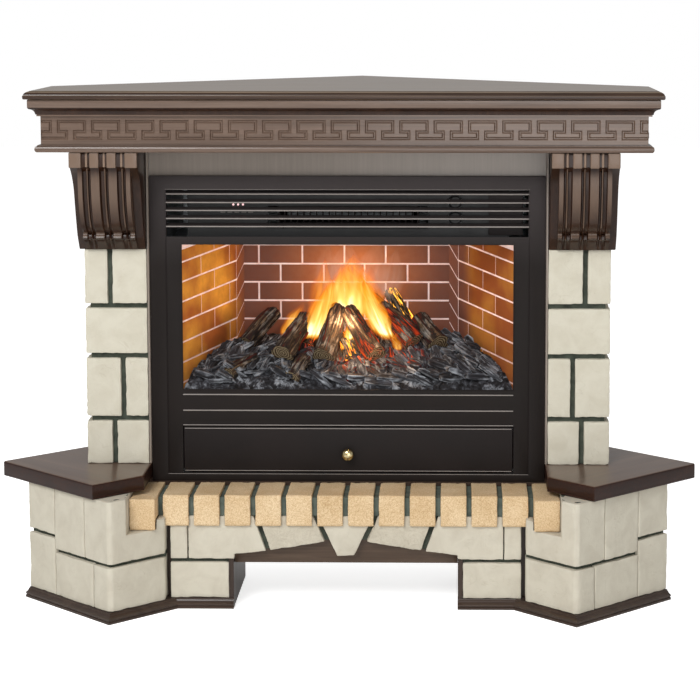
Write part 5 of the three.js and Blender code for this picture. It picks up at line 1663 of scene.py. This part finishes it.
class FireBed:
    """Everything that looks burnt: the ember bed, its coals, the stumps and the logs."""

    LOGS = (
        ("log_centre", (-50, 62, 441), (-25, 150, 525), 24, 3.2, 0.12),
        ("log_right", (52, 64, 446), (-7, 140, 520), 23, 4.1, 0.3),
        ("log_left", (-127, 66, 444), (-87, 150, 509), 23, 2.1, 0.15),
        ("log_far_right", (119, 118, 458), (26, 195, 541), 23, 0.9, 0.28),
        ("log_back_right", (168, 130, 453), (128, 190, 500), 24, 2.7, 0.12),
        ("log_back_tall", (120, 178, 458), (71, 222, 549), 19, 1.9, 1.0),
        ("log_far_left", (-202, 150, 452), (-149, 195, 512), 20, 0.4, 0.1),
        ("log_lying_left", (-225, 32, 411), (-180, 78, 440), 16, 1.3, 0.1),
    )
    STUMPS = (
        ((-106, 24, 408), (-80, 64, 440), 16, 5.4, 0.1),
        ((-84, 132, 450), (-54, 185, 506), 18, 0.2, 0.5),
        ((7, 95, 431), (-15, 142, 474), 19, 1.1, 0.9),
    )
    HOT = ((-70, 130, 480), (64, 120, 474), (0, 110, 462), (12, 66, 436), (92, 190, 530), (98, 84, 440))

    def __init__(self, finishes: Finishes) -> None:
        """Keeps the finishes."""
        self.finishes = finishes

    def build(self) -> None:
        """Makes the bed, its coals, the stumps and each log."""
        self.make_bed()
        self.make_coals()
        for name, start, end, radius, seed, heat in self.LOGS:
            bm = self.make_log(Vector(start), Vector(end), radius, seed, heat)
            piece(f"burnt_{name}", bm, self.finishes.log, "bark", replaces=[name], smooth=45)
        stumps = [self.make_log(Vector(start), Vector(end), radius, seed, heat)
                  for start, end, radius, seed, heat in self.STUMPS]
        piece("burnt_stumps", gather(stumps), self.finishes.log, "bark", smooth=45)

    def heat_at(self, spot: Vector) -> float:
        """How hot a place is, from 0 to 1, by its distance to the hottest places."""
        nearest = min((spot - Vector(place)).length for place in self.HOT)
        return max(0.0, 1.0 - nearest / 72.0)

    def make_log(self, start: Vector, end: Vector, radius: float, seed: float, heat: float) -> bmesh.types.BMesh:
        """A split log with bark ridges, a hewn facet, a cut lower end and a broken tip.

        Args:
            start: The middle of its cut lower end.
            end: Its tip.
            radius: Its radius at the lower end.
            seed: Picks its shape.
            heat: How strongly it glows.

        Returns:
            The log's bmesh, with its grain, its heat and its cut end stored on it.
        """
        along = end - start
        forward = along.normalized()
        sideways = Vector((0, 0, 1)).cross(forward).normalized()
        upward = forward.cross(sideways)
        steps, sides = 44, 54
        rings, facts = [], []
        for step in range(-3, steps + 1):
            t = max(0.0, step / steps)
            shrink = {-3: 0.0, -2: 0.62, -1: 0.94}.get(step, 1.0)
            centre = start + along * t + upward * (0.12 * radius * math.sin(math.pi * t + seed))
            tip = 1.0 - 0.35 * max(0.0, (t - 0.93) / 0.07)
            ring, fact = [], []
            for side in range(sides):
                angle = math.tau * side / sides
                around = Vector((math.cos(angle), math.sin(angle), 0))
                knots = 1 + 0.1 * math.sin(3 * angle + seed) + 0.06 * math.sin(5 * angle + 7 * t + seed)
                bark = noise.noise(Vector((around.x * 3.0, around.y * 3.0, t * 2.2 + seed * 9)))
                crack = noise.noise(Vector((around.x * 9.0 + seed, around.y * 9.0, t * 3.4 + seed)))
                fibre = noise.noise(Vector((around.x * 21.0, around.y * 21.0, t * 7.0 + seed)))
                split = min(1.0, 0.86 / max(0.2, math.cos(angle - 1.1 - 0.3 * seed)))
                reach = radius * (1 - 0.22 * t) * knots * min(1.0, 0.92 + 0.1 * bark) * split * tip * shrink
                reach += shrink * (1.1 * fibre - 2.6 * max(0.0, crack - 0.12) / 0.5)
                reach = max(0.4, reach) if shrink else 0.0
                spot = centre + (sideways * around.x + upward * around.y) * reach
                if step == steps:
                    spot += forward * (5.0 * noise.noise(Vector((around.x * 2.5, around.y * 2.5, seed))) - 2.0)
                if step < 0:
                    spot += forward * (0.8 * noise.noise(spot * 0.3))
                ring.append(spot)
                fact.append((around * reach, t * along.length, 1.0 if step < 0 else 0.0))
            rings.append(ring)
            facts.append(fact)
        bm = loft(rings)
        grain = bm.verts.layers.float_vector.new("grain")
        hot = bm.verts.layers.float.new("warmth")
        cut = bm.verts.layers.float.new("cut_end")
        flat = [entry for fact in facts for entry in fact]
        for vert, (around, length, is_cut) in zip(bm.verts, flat):
            vert[grain] = Vector((around.x, around.y, length + 300 * seed)) * MM
            vert[hot] = min(1.0, heat * 1.2 * self.heat_at(vert.co) + 0.4 * heat * max(0.0, vert.normal.z))
            vert[cut] = is_cut
        return bm

    def make_bed(self) -> None:
        """The lumpy ash under the coals."""
        rings = []
        columns, rows = 110, 46
        for column in range(columns + 1):
            u = 2 * column / columns - 1
            ring = []
            for row in range(rows + 1):
                y = 8 + 242 * row / rows
                x = u * (bed_half(y) - 1.5)
                ring.append(Vector((x, y, bed_top(x, y) - 3 + 4.5 * noise.noise(Vector((x, y, 0)) / 11))))
            ring += [Vector((u * (bed_half(250) - 1.5), 250, 346.6)), Vector((u * (bed_half(8) - 1.5), 8, 346.6))]
            rings.append(ring)
        bm = loft(rings)
        self.mark(bm)
        piece("ash_bed", bm, self.finishes.coal, "ash", replaces=["ember_bed"], smooth=60)

    def mark(self, bm: bmesh.types.BMesh) -> None:
        """Stores the grain and the heat on a burnt piece."""
        grain = bm.verts.layers.float_vector.new("grain")
        hot = bm.verts.layers.float.new("warmth")
        bm.verts.layers.float.new("cut_end")
        for vert in bm.verts:
            vert[grain] = vert.co * MM * 0.7
            vert[hot] = 0.6 * self.heat_at(vert.co) ** 2.2

    def make_coals(self) -> None:
        """Strews split charcoal over the slope of the bed, in a fan that opens to the front."""
        chunks = []
        place = 0
        y = 17.0
        while y < 232:
            half = bed_half(y) - 14
            count = int(2 * half / 28)
            for at in range(count):
                place += 1
                spot = Vector((place * 1.73, place * 0.61, place * 2.17))
                jitter = noise.noise_vector(spot * 7.3) * 1.7
                x = -half + 2 * half * (at + 0.5) / count + 12 * jitter.x
                depth = min(238.0, max(16.0, y + 9 * jitter.y))
                bm = self.make_coal(place, 25 + 14 * noise.noise(spot * 3.1), 8.5 + 3.5 * jitter.z)
                fan = math.atan2(depth - 330, x) if y > 40 else 0.2 * jitter.x
                turn = Matrix.Rotation(fan + 0.7 * jitter.z, 4, "Z")
                tilt = Matrix.Rotation(0.3 + 0.4 * jitter.y, 4, "Y") @ Matrix.Rotation(0.9 * jitter.x, 4, "X")
                bm.transform(Matrix.Translation((x, depth, bed_top(x, depth) + 1.5)) @ turn @ tilt)
                if all(vert.co.y > 7.6 and abs(vert.co.x) < bed_half(vert.co.y) - 1 for vert in bm.verts):
                    chunks.append(bm)
                else:
                    bm.free()
            y += 15.0
        bm = gather(chunks)
        hot = bm.verts.layers.float.new("warmth")
        for vert in bm.verts:
            vert[hot] = 0.62 * self.heat_at(vert.co) ** 2.2
        piece("coals", bm, self.finishes.coal, "ash", smooth=40)

    def make_coal(self, place: int, reach: float, thick: float) -> bmesh.types.BMesh:
        """One split of charcoal, with its grain along X and its worn edges marked.

        Args:
            place: Its number, which picks its shape.
            reach: Half its length.
            thick: About half its width.

        Returns:
            The split's bmesh, with its middle at the origin.
        """
        bm = cube((-reach, -thick, -0.6 * thick), (reach, 0.9 * thick, 0.55 * thick))
        for axis in Axis:
            slice_up(bm, axis.value, 3.6)
        grain = bm.verts.layers.float_vector.new("grain")
        worn = bm.verts.layers.float.new("worn")
        for vert in bm.verts:
            vert[grain] = Vector((vert.co.y, vert.co.z, vert.co.x + 40 * place)) * MM
            vert[worn] = float(max(edge.calc_face_angle(0.0) for edge in vert.link_edges) > 0.5)
        for vert in bm.verts:
            taper = 1 - 0.35 * (abs(vert.co.x) / reach) ** 3
            vert.co.y *= taper
            vert.co.z *= taper
        weather(bm, place * 0.37, 2.0, 1.6, 15.0)
        return bm


@dataclass(frozen=True)
class Tongue:
    """One sheet of flame or mist: its foot, its height, its width and how it leans."""

    foot: tuple[float, float, float]
    height: float
    width: float
    lean: float
    seed: float
    heat: float = 1.0


class Flames:
    """The mist flames over the logs, lit from below, and the thin mist above them."""

    TONGUES = (
        Tongue((-76, 122, 462), 104, 56, 0.30, 1.0), Tongue((-62, 130, 470), 112, 50, 0.22, 2.3),
        Tongue((74, 122, 462), 112, 50, -0.48, 3.1), Tongue((62, 132, 470), 118, 58, -0.40, 4.7),
        Tongue((-6, 160, 496), 106, 104, 0.0, 5.9, 0.95), Tongue((8, 168, 506), 112, 96, -0.1, 6.4, 0.8),
        Tongue((-28, 164, 500), 100, 80, 0.1, 7.7, 0.8), Tongue((-62, 158, 484), 128, 66, 0.1, 8.2, 0.5),
        Tongue((-124, 140, 466), 62, 46, 0.42, 9.3, 0.75), Tongue((-2, 112, 462), 50, 30, 0.0, 10.1, 0.85),
        Tongue((40, 166, 506), 96, 76, -0.2, 11.4, 0.6), Tongue((92, 92, 446), 34, 22, -0.3, 12.6, 0.6),
    )
    MISTS = (
        Tongue((-14, 172, 548), 96, 96, 0.0, 21.0, 0.9), Tongue((34, 176, 545), 100, 88, 0.12, 22.0, 0.8),
        Tongue((-40, 178, 536), 104, 76, -0.1, 23.0, 0.7), Tongue((66, 176, 536), 96, 66, 0.2, 24.0, 0.7),
    )

    def __init__(self, finishes: Finishes) -> None:
        """Keeps the finishes."""
        self.finishes = finishes

    def build(self) -> None:
        """Makes the flames and the mist."""
        flames = gather([self.make_sheet(tongue) for tongue in self.TONGUES])
        mists = gather([self.make_sheet(tongue) for tongue in self.MISTS])
        piece("mist_flames", flames, self.finishes.flame, "smoky_plastic", smooth=180)
        piece("rising_mist", mists, self.finishes.smoke, "smoky_plastic", smooth=180)

    def make_sheet(self, tongue: Tongue) -> bmesh.types.BMesh:
        """One waving sheet that narrows to its tip, hot in the middle and clear at its rim."""
        rows, columns = 46, 22
        bm = bmesh.new()
        hot = bm.verts.layers.float.new("warmth")
        grid = []
        for row in range(rows + 1):
            t = row / rows
            line = []
            swell = math.sin(math.pi * min(1.0, 0.18 + 0.82 * t)) ** 0.75
            sway = 12 * noise.noise(Vector((t * 2.6, tongue.seed * 3.1, 0))) * t
            half = 0.5 * tongue.width * swell * (1 - 0.25 * t)
            for column in range(columns + 1):
                u = 2 * column / columns - 1
                fray = noise.noise(Vector((u * 2.2 + tongue.seed, t * 3.0, tongue.seed * 7.7)))
                x = tongue.foot[0] + u * half + sway + tongue.lean * tongue.height * t + 5 * fray * t
                y = tongue.foot[1] + 9 * noise.noise(Vector((u * 1.4, t * 2.0, tongue.seed))) + 8 * u * u
                z = tongue.foot[2] + tongue.height * t * (1 + 0.14 * fray)
                vert = bm.verts.new((x, min(250.0, y), min(660.0, z)))
                edge = max(0.0, 1 - abs(u) ** 2.4)
                streak = 0.5 + 0.5 * noise.noise(Vector((u * 5.5 + 3 * sway / 12, t * 2.4 - 2, tongue.seed * 1.9)))
                rise = min(1.0, t / 0.12) * (1 - t) ** 0.55
                vert[hot] = min(1.0, 1.25 * tongue.heat * edge * rise * (0.35 + 0.9 * streak))
                line.append(vert)
            grid.append(line)
        for near, far in zip(grid, grid[1:]):
            for at in range(columns):
                bm.faces.new((near[at], near[at + 1], far[at + 1], far[at]))
        return bm


@dataclass(frozen=True)
class FireLight:
    """The lamps hidden in the ember bed, which light the logs and the print from below."""

    def build(self) -> None:
        """Makes three small warm lamps inside the firebox."""
        for name, place, watts in (("fire_lamp_middle", (-4, 105, 505), 1.25), ("fire_lamp_back", (-4, 195, 550), 0.5),
                                   ("fire_lamp_front", (40, 30, 470), 0.3)):
            data = bpy.data.lights.new(name, "POINT")
            data.energy = watts
            data.shadow_soft_size = 0.03
            data.color = (1.0, 0.6, 0.3)
            lamp = bpy.data.objects.new(name, data)
            lamp.location = TO_ROW @ Vector(place)
            bpy.context.scene.collection.objects.link(lamp)


# ---------------------------------------------------------------- drawer
@dataclass(frozen=True)
class Drawer:
    """The water drawer's steel front, with pale strips that paint the highlight on its folded rim, and its turned brass
    knob.
    """

    finishes: Finishes

    def build(self) -> None:
        """Makes the front and the knob."""
        front = cube((-308, 0.6, 231), (308, 12, 317))
        round_edges(front, 1.6, 3)
        # The rims are thin pale strips, a painted highlight.
        rims = []
        for x0, x1, z0, z1 in ((-306, 306, 313.2, 314.6), (-306, 306, 233, 234.2)):
            rim = cube((x0, 0.2, z0), (x1, 1.4, z1))
            round_edges(rim, 0.3, 2)
            rims.append(rim)
        piece("drawer_face", front, self.finishes.drawer_steel, "black_steel", body="drawer",
              replaces=["drawer_front"])
        piece("drawer_rims", gather(rims), self.finishes.highlight_and_mark_grey, "black_steel", body="drawer")
        profile = [(0, -22.1), (3, -21.9), (6, -21.2), (8.8, -19.6), (10.8, -17.2), (11.8, -14.2), (11.9, -12.6),
                   (11.2, -12.2), (11.6, -11.6), (11.2, -10.6), (9.6, -8.8), (7.0, -7.2), (5.2, -6.2), (4.5, -4.6),
                   (4.8, -3.0), (6.0, -1.6), (8.2, -1.0), (8.6, -0.3), (8.4, 0.3), (2.1, 0.3), (2.1, 8.8), (0, 8.8)]
        knob = lathe(profile, Vector((0, 0, 267)), 56)
        piece("turned_knob", knob, self.finishes.brass, "brass", body="drawer", replaces=["drawer_knob"], smooth=40)


def main() -> None:
    """Builds the whole scene: the studio, then every part of the fireplace."""
    logging.basicConfig(level=logging.INFO, format="%(message)s")
    finishes = Finishes()
    Studio().build()
    parts = (Mantel(finishes), Corbels(finishes), Columns(finishes), Plinths(finishes), Hearth(finishes),
             InsertFront(finishes), Controls(finishes), Firebox(finishes), FireBed(finishes), Flames(finishes),
             FireLight(), Drawer(finishes))
    for part in parts:
        part.build()


if __name__ == "__main__":
    main()
